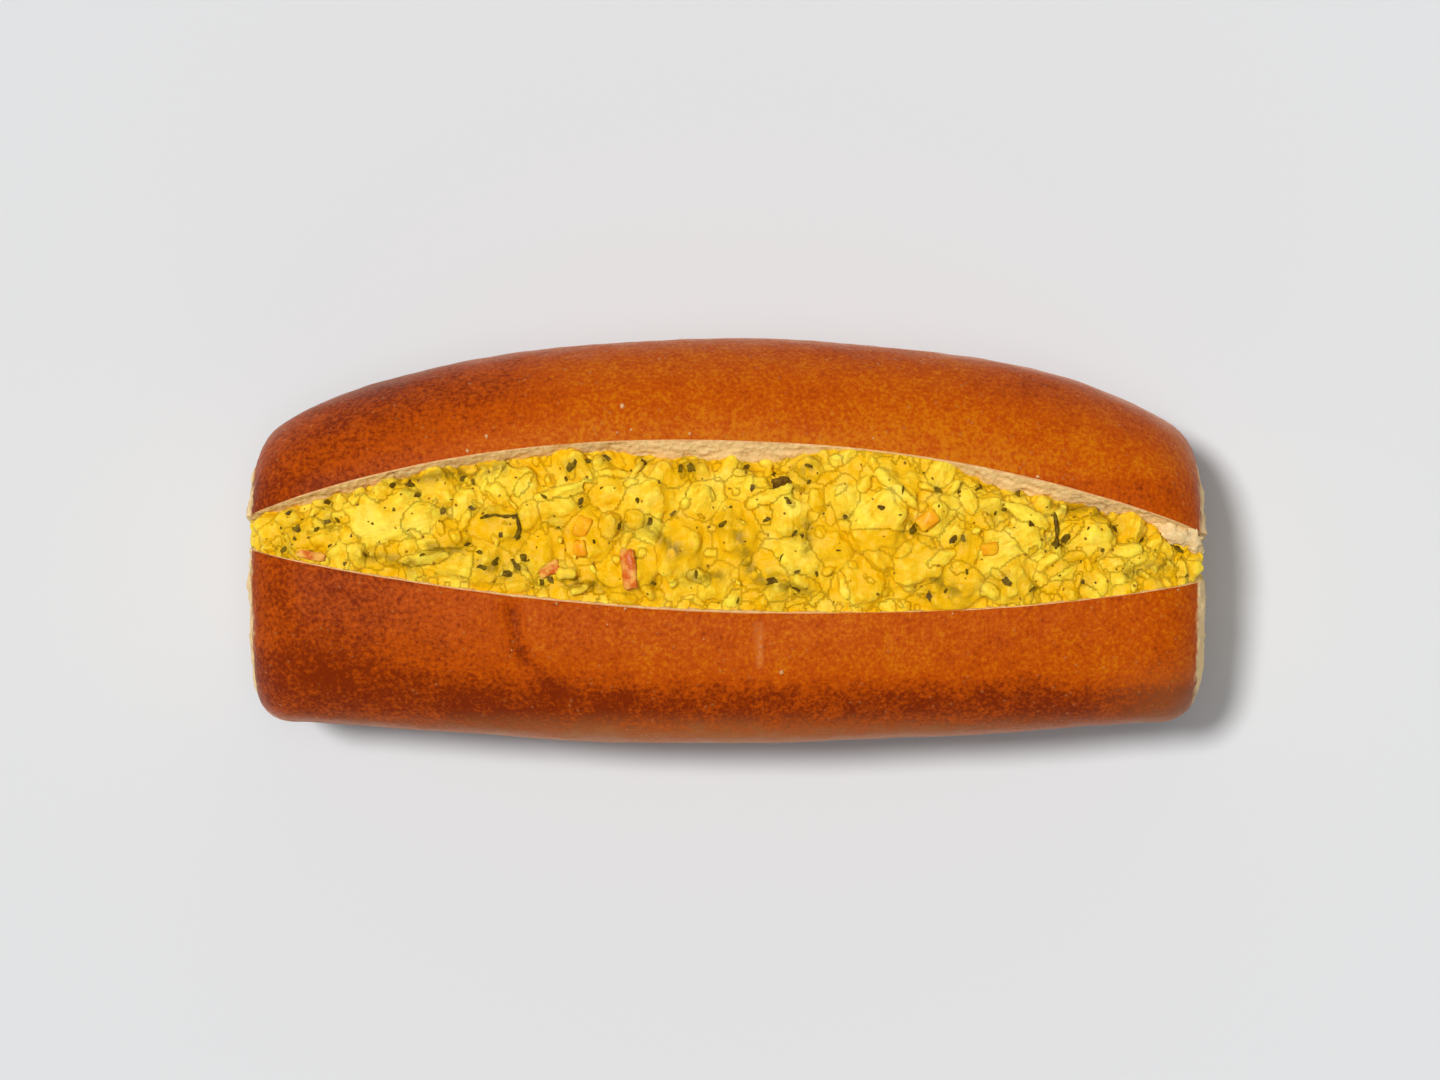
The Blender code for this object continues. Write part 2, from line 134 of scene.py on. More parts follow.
# The crust's unevenness, with a fold and a scuff on the base, along and across
CRUST_SWELL = 0.5 * MM
CRUST_SWELL_SIZE = 26 * MM
CREASE_DEPTH = 0.6 * MM
CREASE_WIDTH = 1.9 * MM
SCUFF_SHARE = 0.4  # of a crease's depth
FOLD_BOTTOM_SHARE = 0.4  # by which the narrow bottom of the fold goes deeper
WRINKLE_SIZE = 5.5 * MM
FINE_WRINKLE_SIZE = 2.6 * MM
FOLD = in_metres((-37.4, -12), (-36.6, -17.5), (-35, -21), (-29, -27))
SCUFF = in_metres((5.4, -14.5), (5.6, -21.5))
FOLD_SHADE_WIDTH = 1.3 * MM
SCUFF_SHADE_WIDTH = 0.35 * MM

# The cut: each lip's place across at its peak, and how far it comes back towards both ends
CROWN_LIP = {"peak": 17.6 * MM, "at": -8 * MM, "left": 13.4 * MM, "right": 16.6 * MM, "bow": 2.15}
BASE_LIP = {"peak": -12.5 * MM, "at": 20 * MM, "left": -11.2 * MM, "right": -5.6 * MM, "bow": 2.1}
CUT_FLOOR = 14 * MM
CUT_FLOOR_HALF_WIDTH = 3.2 * MM
CUT_FLOOR_END_HALF_WIDTH = 1.3 * MM
CUT_FLOOR_ROUND = 1.2 * MM
CUT_LEAN = 0.3
CROWN_FLARE = 2.6 * MM
BASE_FLARE = 1.1 * MM
FLARE_DEPTH = 5 * MM
FLARE_MOST = 0.5
FLARE_STEP = 0.6  # up the flare, where the wall's outline has a point more
PORES_FROM = in_metres(0.2, 1.5)  # below the lip, where the pores of the cut set in

# Where the crown's wall leans back and shows bare crumb
BARE_CRUMB_AT = 2 * MM
BARE_CRUMB_HALF_SPAN = 18 * MM
BARE_CRUMB_BY = 2.3 * MM
BARE_END_AT = 60 * MM
BARE_END_HALF_SPAN = 19 * MM
BARE_END_BY = 2.4 * MM

# The bread's finish
BREAD_SMOOTH_BELOW = 55  # degrees
BREAD_LEVEL = 6  # rounds of averaging that give the level from which hollows are measured
# Painted shade in the crumb's pores and hollows, as a share of its own colour.
PORE_SHADE = (0.68, 0.54, 0.36)  # of the crumb's own colour
TAN_SHADE = 0.72  # of the tan's own colour, where it is darkest
CUT_STRETCH = (1.0, 1.0, 0.5)  # the knife drew the pores of the cut out downwards

# The heap in it
GAP = 0.3 * MM
SOAKED = 0.9 * MM  # how far the filling reaches into the bread, so that no gap shows
SOAKED_ROOM = 0.6 * MM  # over which the filling's surface slows down before that
END_EASE = 1.6 * MM
FILLING_INSET = 1.6 * MM
CORE_INSET = 2.8 * MM  # room for the scraps that stand out of the two open ends
END_ROOM = 0.3 * MM  # between the scraps of filling and the plane of each end
FILLING_STATIONS = 44
FILLING_ACROSS = 8
RIM_BELOW_CROWN = 3.6 * MM
RIM_BELOW_BASE = 1.2 * MM
HEAPED_AT = 28 * MM
HEAPED_HALF_SPAN = 15 * MM
HEAPED_BY = 3.2 * MM
BARE_FROM = 62 * MM
BARE_BY = 4.5 * MM
MOUND = 2.6 * MM
FILLING_SWELL = 1.1 * MM
FILLING_SWELL_SIZE = 11 * MM
SWELL_ACROSS = 25 * MM
HIDDEN_BELOW = 40 * MM  # the bread hides the filling below this height
WALL_MARGIN = 0.9 * MM  # between what lies on the heap and the walls of the cut

# Pieces are spread along the heap in even steps, and across it by the golden ratio
SEED = 7
PIECE_MARGIN = 4 * MM
GOLDEN = 0.618034

# Chunks of chicken
CHUNKS = 52
CHUNK_HALF_LENGTH = in_metres(3.2, 6.6)
CHUNK_WIDTH_SHARE = (0.6, 0.9)
CHUNK_HEIGHT_SHARE = (0.5, 0.7)
CHUNK_END_SHARE = 0.55
CHUNK_BOXINESS = 3.2
CHUNK_GIRTH = 0.86
CHUNK_DENTS = 0.22
CHUNK_DENT_SCALE = 1.3
CHUNK_SUNK = 0.35
CHUNK_TILT = 0.4
CHUNK_MARGIN = 0.12
CHUNK_TORN = 0.22
TORN_SCALE = 2.9  # of the finer dents in torn pieces
BALL_DETAIL = 4  # how finely the ball that a large piece starts from is divided
SHRED_BOXINESS = 2.4
SHRED_SUNK = -0.9  # of its half height, so that it lies on top
SCRAP_BOXINESS = 2.6

# Small scraps between the chunks, along both lips and at both ends
BIT_BOXINESS = (1.7, 3.2)
BIT_TORN = 0.38
BIT_TILT = 0.7
BIT_MARGIN = 0.03  # share of the heap's width left free at each wall
BIT_SLIM = (0.28, 0.45)  # width of the long shreds, as a share of their length
BIT_STOUT = (0.5, 0.9)
BIT_SUNK = 0.7 * MM
BIT_RISE = 1.4 * MM
EDGE_BIT_RISE = 0.2 * MM
RIM_BIT_SHARE = 0.05
RIM_BIT_SCALE = 0.85
END_BIT_SCALE = 1.15
END_BIT_SPREAD = (-0.5, 0.7)  # millimetres

# The meat's fibres, and the sauce over them
SKIN_SMOOTHING = 9
FIBRE_STRETCH = (0.22, 1.0, 1.0)
FIBRE_SIZE = 1.3 * MM
SAUCE_LUMP_SIZE = 3.0 * MM
FILLING_LEVEL = 10  # rounds of averaging that give the level from which hollows are measured
PALE_SPREAD = 3
PIECE_REACH = 1.6  # of a piece's largest half size, as far as its fibres may reach
PIECE_NEAR = 1.5  # of its half sizes
PIECE_SHIFT = 7  # millimetres between the fibre patterns of two pieces

# The largest lumps: place along and across, half sizes, turn
LUMPS = turned_rows(
    (-59, 3.6, (8.0, 5.4, 3.6), 12),
    (-47, -3.5, (5.2, 3.4, 3.0), -8),
    (-14, 6.0, (6.0, 4.4, 3.2), 30),
    (13, -2.5, (5.6, 4.6, 3.4), -35),
    (27, 3.5, (6.2, 4.8, 3.4), 50),
    (47, -2.5, (5.4, 4.0, 3.2), 15),
    (63, 0.5, (4.8, 3.4, 2.8), -12),
)

# Torn shreds that lie across the heap: place, half sizes, turn
SHREDS = turned_rows(
    (29, 9.5, (5.4, 1.3, 1.1), -42),
    (52, 4.6, (5.2, 1.4, 1.1), -28),
    (36, -3.6, (4.2, 1.3, 1.0), 28),
    (-29, 8.6, (4.8, 1.3, 1.1), 14),
    (-52, -3.0, (5.0, 1.2, 1.1), 8),
    (-8, -2.5, (4.4, 1.3, 1.0), -65),
    (8, 8.0, (5.0, 1.3, 1.1), 22),
    (69, -1.6, (4.2, 1.2, 1.0), 4),
)

# Scraps that fill the mouth of the right end: place, half sizes, turn
END_SCRAPS = turned_rows(
    (81.0, -5.0, (3.0, 1.5, 1.3), 6),
    (80.7, -2.9, (3.2, 1.6, 1.4), -16),
    (79.4, -0.8, (2.6, 1.7, 1.3), 30),
)

# Diced vegetables: place along and across, half length, half width, turn
DICE_HALF_THICKNESS = 1.2 * MM
DICE_BOXINESS = 6.0
DICE_LEVEL = 2  # how much flatter the dice lie than the sauce under them
DICE_SUNK = 0.2 * MM
DICE_TILT = 0.15
PEPPERS = turned_rows(
    (-17.0, -4.9, 4.0, 1.5, 96),
    (-30.9, -4.6, 2.2, 1.4, 20),
    (-72.5, -2.6, 2.8, 0.8, -10),
)
CARROTS = turned_rows(
    (-25.2, 2.6, 2.0, 1.5, 70),
    (-25.4, -1.2, 1.7, 1.3, 100),
    (34.8, 3.6, 2.2, 1.6, 35),
    (45.6, -1.3, 1.7, 1.2, 10),
)

# The herb flakes that show most: place along and across, and length
HERB_SPOTS = in_metres(
    (-77.3, -1.3, 2.6),
    (-75.1, 2.3, 2.4),
    (-69.7, 3.4, 2.4),
    (-69.7, 6.8, 1.9),
    (-58.2, 11.0, 2.0),
    (-55.0, 10.0, 2.6),
    (-49.5, 5.2, 1.6),
    (-46.0, 11.0, 1.8),
    (-44.4, 5.8, 1.5),
    (-45.0, -0.5, 1.8),
    (-42.8, -4.5, 1.9),
    (-40.1, -3.5, 2.4),
    (-38.4, -5.6, 2.6),
    (-35.2, -2.9, 2.2),
    (-32.2, -7.3, 2.0),
    (-27.0, 13.1, 2.6),
    (-25.4, 6.9, 1.9),
    (-21.0, 14.6, 2.0),
    (-18.7, 2.6, 2.4),
    (-14.5, 13.8, 2.0),
    (-13.4, 3.5, 1.7),
    (-12.8, -7.3, 1.8),
    (-6.3, 13.0, 2.8),
    (-5.4, -5.6, 2.2),
    (-0.7, 3.0, 2.4),
    (3.4, 12.8, 2.2),
    (7.4, -7.0, 3.0),
    (12.0, -8.4, 2.4),
    (11.7, 1.3, 2.5),
    (12.1, -5.4, 1.7),
    (14.4, 13.0, 2.6),
    (20.6, 4.2, 1.4),
    (32.4, 2.2, 2.6),
    (36.4, 9.0, 1.6),
    (35.2, -9.6, 2.2),
    (41.1, 0.3, 1.7),
    (43.8, 9.2, 1.7),
    (48.4, 5.5, 1.6),
    (50.7, 8.4, 2.2),
    (48.4, -6.8, 2.6),
    (53.1, -8.3, 2.0),
    (62.0, -7.0, 1.9),
    (67.6, 2.4, 2.5),
    (72.4, 0.2, 1.8),
    (-41.7, 4.4, 1.9),
    (-36.8, 4.3, 1.7),
    (-36.5, 0.8, 1.6),
    (57.3, -0.6, 1.8),
)

# Sauce stained by herb: both ends of each streak, along and across
STAINS = in_metres(
    ((-64.0, -2.4), (-55.0, -3.8)),
    ((-51.6, -1.2), (-46.5, -1.9)),
    ((-42.0, -4.6), (-35.0, -5.0)),
    ((-28.0, -7.2), (-21.5, -7.6)),
    ((-57.0, 10.6), (-39.0, 12.8)),
    ((-14.0, 2.8), (-9.0, -1.5)),
    ((-7.0, -6.4), (-1.5, -6.0)),
    ((1.8, 1.5), (4.4, -6.0)),
    ((4.4, -6.4), (13.5, -8.6)),
    ((13.8, 3.0), (13.9, -1.5)),
    ((36.0, -6.4), (39.5, -8.6)),
    ((57.0, 6.4), (66.0, 4.6)),
    ((76.5, -4.0), (70.0, -5.5)),
)
STAIN_WIDTH = 1.1 * MM
SPOT_STAIN_WIDTH = 1.5 * MM  # round a flake that is SPOT_STAIN_FLAKE long
SPOT_STAIN_FLAKE = 2 * MM
SPOT_STAIN = 0.6

# Chopped leaf
LEAF_SIDES = 9
LEAF_THICKNESS = 0.16 * MM
LEAF_SUNK = 0.3  # of its thickness
LEAF_NARROW = (0.28, 0.75)
LEAF_CURL = (-0.1, 0.4)
LEAF_RAGGED = (0.6, 1.15)
LEAF_TILT = 0.35
HERB_PATCH = 13 * MM  # the scattered flakes gather in patches of about this size
HERB_MARGIN = 0.04  # share of the heap's width left free at each wall

# Stalks: their ends and bends, along and across
STALKS = in_metres(
    ((57.1, 5.0), (57.5, 2.0), (57.2, -1.4)),
    ((-42.9, 4.0), (-40.4, 4.6), (-38.6, 4.3), (-36.6, 4.5)),
    ((-36.4, 4.2), (-36.0, 2.2), (-36.6, 0.2)),
)
STALK_RADIUS = 0.40 * MM
STALK_SIDES = 7
STALK_STEPS = 5
STALK_LUMPS = 1.3 * MM

# A dark, dried fruit: place, half sizes
DRIED_FRUIT = in_metres(9.6, 10.2)
DRIED_FRUIT_SIZE = in_metres(1.7, 1.3, 1.1)
DRIED_FRUIT_TURN = 0.3
DRIED_FRUIT_PROUD = 0.4  # millimetres

# Ground spice and loose crumbs: their half sizes in millimetres
SPECK_HALF_SIZE = (0.14, 0.36)
CRUMB_HALF_SIZE = (0.16, 0.45)
CRUMB_MARGIN = 6 * MM
CRUMB_NEAR_LIP = 0.5 * MM
CRUMB_REACH = 12 * MM
CRUMB_GATHERING = 2.4

# Soft bread pulled out in the mouth of the right end: place, half sizes, turn
TORN_BREAD = turned_rows(
    (78.4, 1.5, (5.6, 2.4, 2.8), -25),
    (81.8, -1.2, (1.9, 2.5, 2.4), 8),
)
TORN_BREAD_BELOW_TOP = 4.4 * MM
TORN_BREAD_GRAIN = 0.25 * MM
TORN_BREAD_SMOOTHING = 4
TUFTS = 34
TUFT_HALF_LENGTH = in_metres(0.5, 1.2)
TUFT_SLIM = (0.7, 0.55)


# ---------------------------------------------------------------- settings


def length(name, description, default):
    return FloatProperty(name=name, description=description, default=default, subtype="DISTANCE")


def angle(name, description, degrees):
    default = math.radians(degrees)
    return FloatProperty(name=name, description=description, default=default, subtype="ANGLE")


def strength(name, description, default):
    return FloatProperty(name=name, description=description, default=default, min=0)


def share(name, description, default):
    return FloatProperty(
        name=name, description=description, default=default, subtype="FACTOR", min=0, max=1
    )


def number(name, description, default):
    return IntProperty(name=name, description=description, default=default, min=0)


def colour(name, description, default):
    return FloatVectorProperty(
        name=name, description=description, default=default, subtype="COLOR", size=3, min=0, max=1
    )


class SandwichBun(PropertyGroup):
    stations: number("Stations", "Rings of points along the roll", 214)
    around: number("Around", "Points from one lip of the cut to the other, round the outside", 184)
    cap_rows: number("End Rows", "Rows of points across the bread on each end", 38)
    wrinkle: length("Wrinkle", "Height of the crust's fine unevenness", 0.14 * MM)
    pore: length("Pore", "Depth of the open pores in the cut crumb", 0.75 * MM)
    pore_size: length("Pore Size", "Width of the open pores in the cut crumb", 2.1 * MM)
    torn: length("Torn", "Depth of the soft, torn texture on the two ends", 1.2 * MM)
    pale_end: length("Pale End", "How far the pale bread of each end reaches round its edge", 1.4 * MM)
    # Also painted light: the crust just beside the crown's lip is drawn towards this colour.
    crust_light: colour("Crust Light", "Thin golden crust near the cut", (0.530, 0.140, 0.002))
    crust_mid: colour("Crust", "Most of the crust", (0.430, 0.064, 0.001))
    # Also drawn in as painted shade, in the base's dark band and along the fold's crease.
    crust_dark: colour("Crust Dark", "Deeply baked crust", (0.172, 0.018, 0.001))
    # Also drawn in as painted sheen along the rims, and as painted glints on the blisters.
    crust_tan: colour("Crust Tan", "Thinly browned crust on the flanks", (0.450, 0.176, 0.048))
    scuff: colour("Scuff", "A dry scratch in the base's crust", (0.72, 0.33, 0.10))
    spot: colour("Spots", "Small, dark spots baked into the crust", (0.09, 0.014, 0.002))
    crumb: colour("Crumb", "Cut bread", (0.835, 0.570, 0.250))
    sauced: colour("Sauced Crumb", "Cut bread wetted by the sauce", (0.80, 0.48, 0.030))
    end_crumb: colour("End Crumb", "Pale ends that touched the next rolls", (0.860, 0.615, 0.300))
    crust_roughness: share("Crust Roughness", "Satin of the egg wash", 0.42)


class SandwichFilling(PropertyGroup):
    grain: length("Grain", "Spacing of the points on the chicken's surface", 0.42 * MM)
    deep_share: share("Deep Share", "Share of the points kept where the bread hides the filling", 0.06)
    bits: number("Small Bits", "Small scraps of chicken between the lumps", 300)
    end_bits: number("End Bits", "Small scraps at the two open ends of the cut", 130)
    rim_bits: number("Rim Bits", "Small scraps along the two lips of the cut", 120)
    bit_low: length("Smallest Bit", "Half length of the smallest scraps", 0.9 * MM)
    bit_high: length("Largest Bit", "Half length of the largest scraps", 3.0 * MM)
    fibre: length("Fibre", "Height of the meat's fibres", 0.26 * MM)
    sauce_relief: length("Sauce Relief", "Height of the thick sauce's lumps", 0.46 * MM)
    sauce: colour("Sauce", "Yellow curried mayonnaise", (0.805, 0.440, 0.001))
    chicken: colour("Chicken", "Paler chicken under thin sauce", (0.870, 0.650, 0.046))
    cream: colour("Cream", "Palest chicken, where it is almost bare", (0.92, 0.74, 0.12))
    # Also painted shade: the hollows between the lumps are drawn towards this colour, where the sauce
    # pools.
    hollow: colour("Hollow", "Sauce lying deep between the lumps", (0.600, 0.300, 0.002))
    olive: colour("Olive", "Sauce stained by the herbs", (0.330, 0.190, 0.003))
    ground: colour("Ground Spice", "Specks of spice stirred into the sauce", (0.30, 0.17, 0.005))
    roughness: share("Roughness", "Moist gloss of the sauce", 0.40)


class SandwichToppings(PropertyGroup):
    herbs: number("Herb Flakes", "Scattered flakes tried besides the ones placed by hand", 130)
    herb_low: length("Smallest Flake", "Length of the smallest flakes", 0.6 * MM)
    herb_high: length("Largest Flake", "Length of the largest flakes", 2.6 * MM)
    specks: number("Spice Specks", "Tiny specks of ground spice", 170)
    crumbs: number("Crumbs", "Loose crumbs of bread", 16)
    herb: colour("Herb", "Chopped, wilted herb", (0.085, 0.042, 0.003))
    herb_green: colour("Herb Green", "Greener parts of the herb", (0.180, 0.112, 0.005))
    pepper: colour("Pepper", "Diced red pepper", (0.560, 0.105, 0.010))
    pepper_light: colour("Pepper Light", "Flesh of the pepper under sauce", (0.800, 0.400, 0.075))
    carrot: colour("Carrot", "Orange dice under sauce", (0.760, 0.270, 0.004))
    carrot_light: colour("Carrot Light", "Orange dice where the sauce is thick", (0.820, 0.420, 0.010))
    spice: colour("Spice", "Ground spice", (0.210, 0.110, 0.007))
    hot_spice: colour("Hot Spice", "Redder ground spice", (0.380, 0.170, 0.008))
    fruit: colour("Fruit", "Dark dried fruit", (0.090, 0.034, 0.004))
    loose_crumb: colour("Loose Crumb", "Crumbs of crust and bread", (0.700, 0.380, 0.170))
    torn_bread: colour("Torn Bread", "Soft crumb pulled out at the cut's end", (0.660, 0.450, 0.200))
    torn_bread_light: colour("Torn Bread Light", "Its palest tufts", (0.80, 0.60, 0.31))


class SandwichStage(PropertyGroup):
    frame_width: length("Frame Width", "What the camera sees across at the roll's level", 256.3 * MM)
    focal: strength("Lens", "Focal length in millimetres", 135)
    key: strength("Key Light", "Strength of the key light", 2.80)
    key_size: angle("Key Size", "Angle that the key light spans", 8)
    top: strength("Top Light", "Strength of the light overhead", 0.70)
    top_size: angle("Top Size", "Angle that the top light spans", 24)
    fill: strength("Fill", "Strength of the light near the horizon", 0.80)
    overhead: share("Overhead", "Light straight overhead, as a share of that near the horizon", 0.13)
    floor: colour("Floor", "Pale table", (0.612, 0.614, 0.618))


# ---------------------------------------------------------------- shader maths


class Wire:
    """An output of a shader node, so that shader maths reads as a Python expression."""

    def __init__(self, output):
        self.output = output

    def node(self, kind, settings, sockets, output=0):
        """Adds a node to this wire's tree: its settings first, then its sockets' values and links."""
        tree = self.output.id_data
        made = tree.nodes.new(kind)
        for name, value in settings.items():
            setattr(made, name, value)
        for key, value in sockets.items():
            if isinstance(value, Wire):
                tree.links.new(value.output, made.inputs[key])
            else:
                made.inputs[key].default_value = value
        return Wire(made.outputs[output])

    def maths(self, operation, *values):
        return self.node("ShaderNodeMath", {"operation": operation}, dict(enumerate(values)))

    def __add__(self, other):
        return self.maths("ADD", self, other)

    __radd__ = __add__

    def __sub__(self, other):
        return self.maths("SUBTRACT", self, other)

    def __rsub__(self, other):
        return self.maths("SUBTRACT", other, self)

    def __mul__(self, other):
        return self.maths("MULTIPLY", self, other)

    __rmul__ = __mul__

    def __abs__(self):
        return self.maths("ABSOLUTE", self)

    def between(self, low, high):
        """0 below low and 1 above high, with a smooth step from one to the other."""
        sockets = {"Value": self, "From Min": low, "From Max": high}
        return self.node("ShaderNodeMapRange", {"interpolation_type": "SMOOTHSTEP"}, sockets)

    def mix(self, low, high):
        """One colour where this wire is 0, and the other where it is 1."""
        low, high = (value if isinstance(value, Wire) else (*value[:3], 1) for value in (low, high))
        return self.node("ShaderNodeMix", {"data_type": "RGBA"}, {"Factor": self, 6: low, 7: high}, 2)

    def split(self):
        parts = self.node("ShaderNodeSeparateXYZ", {}, {"Vector": self}).output.node
        return [Wire(output) for output in parts.outputs]

    def stretched(self, scale):
        return self.node("ShaderNodeVectorMath", {"operation": "MULTIPLY"}, {0: self, 1: scale})

    def noise(self, size, detail=2.0, rough=0.5):
        sockets = {"Vector": self, "Scale": 1 / size, "Detail": detail, "Roughness": rough}
        return self.node("ShaderNodeTexNoise", {}, sockets)

    def cells(self, size, feature="F1", output="Distance"):
        sockets = {"Vector": self, "Scale": 1 / size}
        return self.node("ShaderNodeTexVoronoi", {"feature": feature}, sockets, output)


class Finish:
    """A material with one Principled shader: what is the same all over is set on the shader itself."""

    def __init__(self, name, fixed):
        self.material = bpy.data.materials.new(name)
        self.material.use_nodes = True
        self.tree = self.material.node_tree
        self.shader = self.tree.nodes["Principled BSDF"]
        for socket, value in fixed.items():
            self.shader.inputs[socket].default_value = value
        self.place = Wire(self.tree.nodes.new("ShaderNodeTexCoord").outputs["Object"])

    def stored(self, name, output="Fac"):
        """A value, or a place from the output Vector, kept at each point of the mesh."""
        return self.place.node("ShaderNodeAttribute", {"attribute_name": name}, {}, output)

    def wear(self, **wires):
        """Links what varies over the surface: its colour and roughness."""
        names = {"colour": "Base Color", "roughness": "Roughness"}
        for name, wire in wires.items():
            self.tree.links.new(wire.output, self.shader.inputs[names[name]])

    def relief(self, height, depth):
        """Bumps as high as depth where the wire is 1."""
        bump = height.node("ShaderNodeBump", {}, {"Height": height, "Distance": depth, "Strength": 1.0})
        self.tree.links.new(bump.output, self.shader.inputs["Normal"])


# ---------------------------------------------------------------- the roll's outline


def rounding(distance_to_end, radius):
    inside = radius - np.minimum(distance_to_end, radius)
    return radius - np.sqrt(radius * radius - inside * inside)


def to_end(x):
    return np.maximum(LENGTH / 2 - np.abs(x), 0.0)


def crown_reach(x):
    along = np.minimum(np.abs(x) / CROWN_SPAN, 1.0)
    fullness = (1 - along**CROWN_FULLNESS) ** CROWN_SHOULDER
    return CROWN_END_REACH + (REACH - CROWN_END_REACH) * fullness - rounding(to_end(x), CROWN_CORNER)


def base_reach(x):
    drawn_in = BASE_DRAW_IN * (2 * np.abs(x) / LENGTH) ** BASE_BOW
    return REACH - drawn_in - rounding(to_end(x), BASE_CORNER)


def top_height(x):
    droop = TOP_DROOP * (2 * np.abs(x) / LENGTH) ** 3
    return HEIGHT - droop - rounding(to_end(x), TOP_CORNER)


def lip(curve, x):
    left = np.asarray(x) < curve["at"]
    span = np.where(left, LENGTH / 2 + curve["at"], LENGTH / 2 - curve["at"])
    come_back = np.where(left, curve["left"], curve["right"])
    return curve["peak"] - come_back * (np.abs(x - curve["at"]) / span) ** curve["bow"]


def cut_middle(x):
    return (lip(CROWN_LIP, x) + lip(BASE_LIP, x)) * CUT_LEAN


def crown_flare(x):
    middle = BARE_CRUMB_BY * np.exp(-(((x - BARE_CRUMB_AT) / BARE_CRUMB_HALF_SPAN) ** 4))
    near_end = BARE_END_BY * np.exp(-(((x - BARE_END_AT) / BARE_END_HALF_SPAN) ** 4))
    return CROWN_FLARE + middle + near_end


def cut_wall(x, z, side):
    """Place across the roll of a wall of the cut: side is 1 for the crown's and -1 for the base's."""
    edge = lip(CROWN_LIP if side > 0 else BASE_LIP, x)
    along = np.minimum(2 * np.abs(x) / LENGTH, 1.0) ** 2
    half_foot = CUT_FLOOR_HALF_WIDTH + (CUT_FLOOR_END_HALF_WIDTH - CUT_FLOOR_HALF_WIDTH) * along
    foot = cut_middle(x) + side * half_foot
    flare = np.minimum(crown_flare(x) if side > 0 else BASE_FLARE, FLARE_MOST * np.abs(edge - foot))
    throat = edge - side * flare
    bend = top_height(x) - FLARE_DEPTH
    mouth = throat + (edge - throat) * (z - bend) / FLARE_DEPTH
    neck = foot + (throat - foot) * (z - CUT_FLOOR) / (bend - CUT_FLOOR)
    return np.where(z > bend, mouth, neck)


def arc(centre, radii, power, start, end):
    """Points on a superellipse between two angles, given in quarter turns."""
    angles = np.linspace(start, end, ARC_POINTS) * math.pi / 2
    cos, sin = np.cos(angles), np.sin(angles)
    across = centre[0] + np.copysign(np.abs(cos) ** (2 / power), cos) * radii[0]
    up = centre[1] + np.copysign(np.abs(sin) ** (2 / power), sin) * radii[1]
    return np.column_stack((across, up))


def crust_outline(x):
    """From the crown's lip over the dome, under the roll and up to the base's lip."""
    top, floor = top_height(x), rounding(to_end(x), BOTTOM_CORNER)
    crown, base = crown_reach(x), base_reach(x)
    flat = FLAT_HALF_WIDTH + (FLAT_END_HALF_WIDTH - FLAT_HALF_WIDTH) * (2 * abs(x) / LENGTH) ** 2
    crown_lip, base_lip = lip(CROWN_LIP, x), lip(BASE_LIP, x)
    crown_middle = min(crown_lip - LIP_MARGIN, crown - CROWN_SIDE_LEAST)
    base_middle = max(base_lip + LIP_MARGIN, BASE_SIDE_LEAST - base)
    crown_level, base_level = top - CROWN_DROP, top - BASE_DROP
    crown_out = (crown_lip - crown_middle) / (crown - crown_middle)
    base_out = (base_middle - base_lip) / (base + base_middle)
    crown_start = math.acos(crown_out ** (CROWN_FRONT_POWER / 2)) / (math.pi / 2)
    base_end = 2 - math.acos(base_out ** (BASE_FRONT_POWER / 2)) / (math.pi / 2)
    crown_front = (crown - crown_middle, CROWN_DROP)
    base_front = (base + base_middle, BASE_DROP)
    return np.concatenate(
        (
            arc((crown_middle, crown_level), crown_front, CROWN_FRONT_POWER, crown_start, 0),
            arc((flat, crown_level), (crown - flat, crown_level - floor), CROWN_BACK_POWER, 0, -1),
            arc((-flat, base_level), (base - flat, base_level - floor), BASE_BACK_POWER, -1, -2),
            arc((base_middle, base_level), base_front, BASE_FRONT_POWER, 2, base_end),
        )
    )


def cut_outline(x, crown_top, base_top):
    """From the crown's lip down its wall, over the floor of the cut and up to the base's lip."""
    bend = top_height(x) - FLARE_DEPTH
    down = [float(crown_top), bend + FLARE_STEP * FLARE_DEPTH, bend, CUT_FLOOR]
    up = [CUT_FLOOR, bend, bend + FLARE_STEP * FLARE_DEPTH, float(base_top)]
    crown_side = [(float(cut_wall(x, z, 1)), z) for z in down]
    base_side = [(float(cut_wall(x, z, -1)), z) for z in up]
    return np.array(crown_side + [(float(cut_middle(x)), CUT_FLOOR - CUT_FLOOR_ROUND)] + base_side)


def respaced(points, count, weight):
    """The same line through count points, closer together where weight is larger."""
    stride = np.linalg.norm(np.diff(points, axis=0), axis=1)
    middle = (points[1:] + points[:-1]) / 2
    travelled = np.concatenate(([0], np.cumsum(stride * weight(middle))))
    wanted = np.linspace(0, travelled[-1], count)
    return np.column_stack([np.interp(wanted, travelled, points[:, i]) for i in range(2)])


# ---------------------------------------------------------------- mesh helpers


def mesh_object(name, points, faces, finishes, smooth_below=None):
    mesh = bpy.data.meshes.new(name)
    mesh.from_pydata(points, [], faces)
    mesh.update()
    for finish in finishes:
        mesh.materials.append(finish.material)
    mesh.shade_smooth()
    if smooth_below:
        mesh.set_sharp_from_angle(angle=math.radians(smooth_below))
    made = bpy.data.objects.new(name, mesh)
    bpy.context.scene.collection.objects.link(made)
    return made


class Pile:
    """The points and faces of many pieces, gathered into one mesh."""

    def __init__(self):
        self.points, self.faces = [], []

    def add(self, points, faces):
        start = len(self.points)
        self.points += [tuple(point) for point in points]
        self.faces += [tuple(start + corner for corner in face) for face in faces]

    def piece(self, name, finish, smooth_below=50):
        """The pile as one piece that rides with the roll."""
        made = mesh_object(name, self.points, self.faces, [finish], smooth_below)
        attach(made, BODY)
        return made


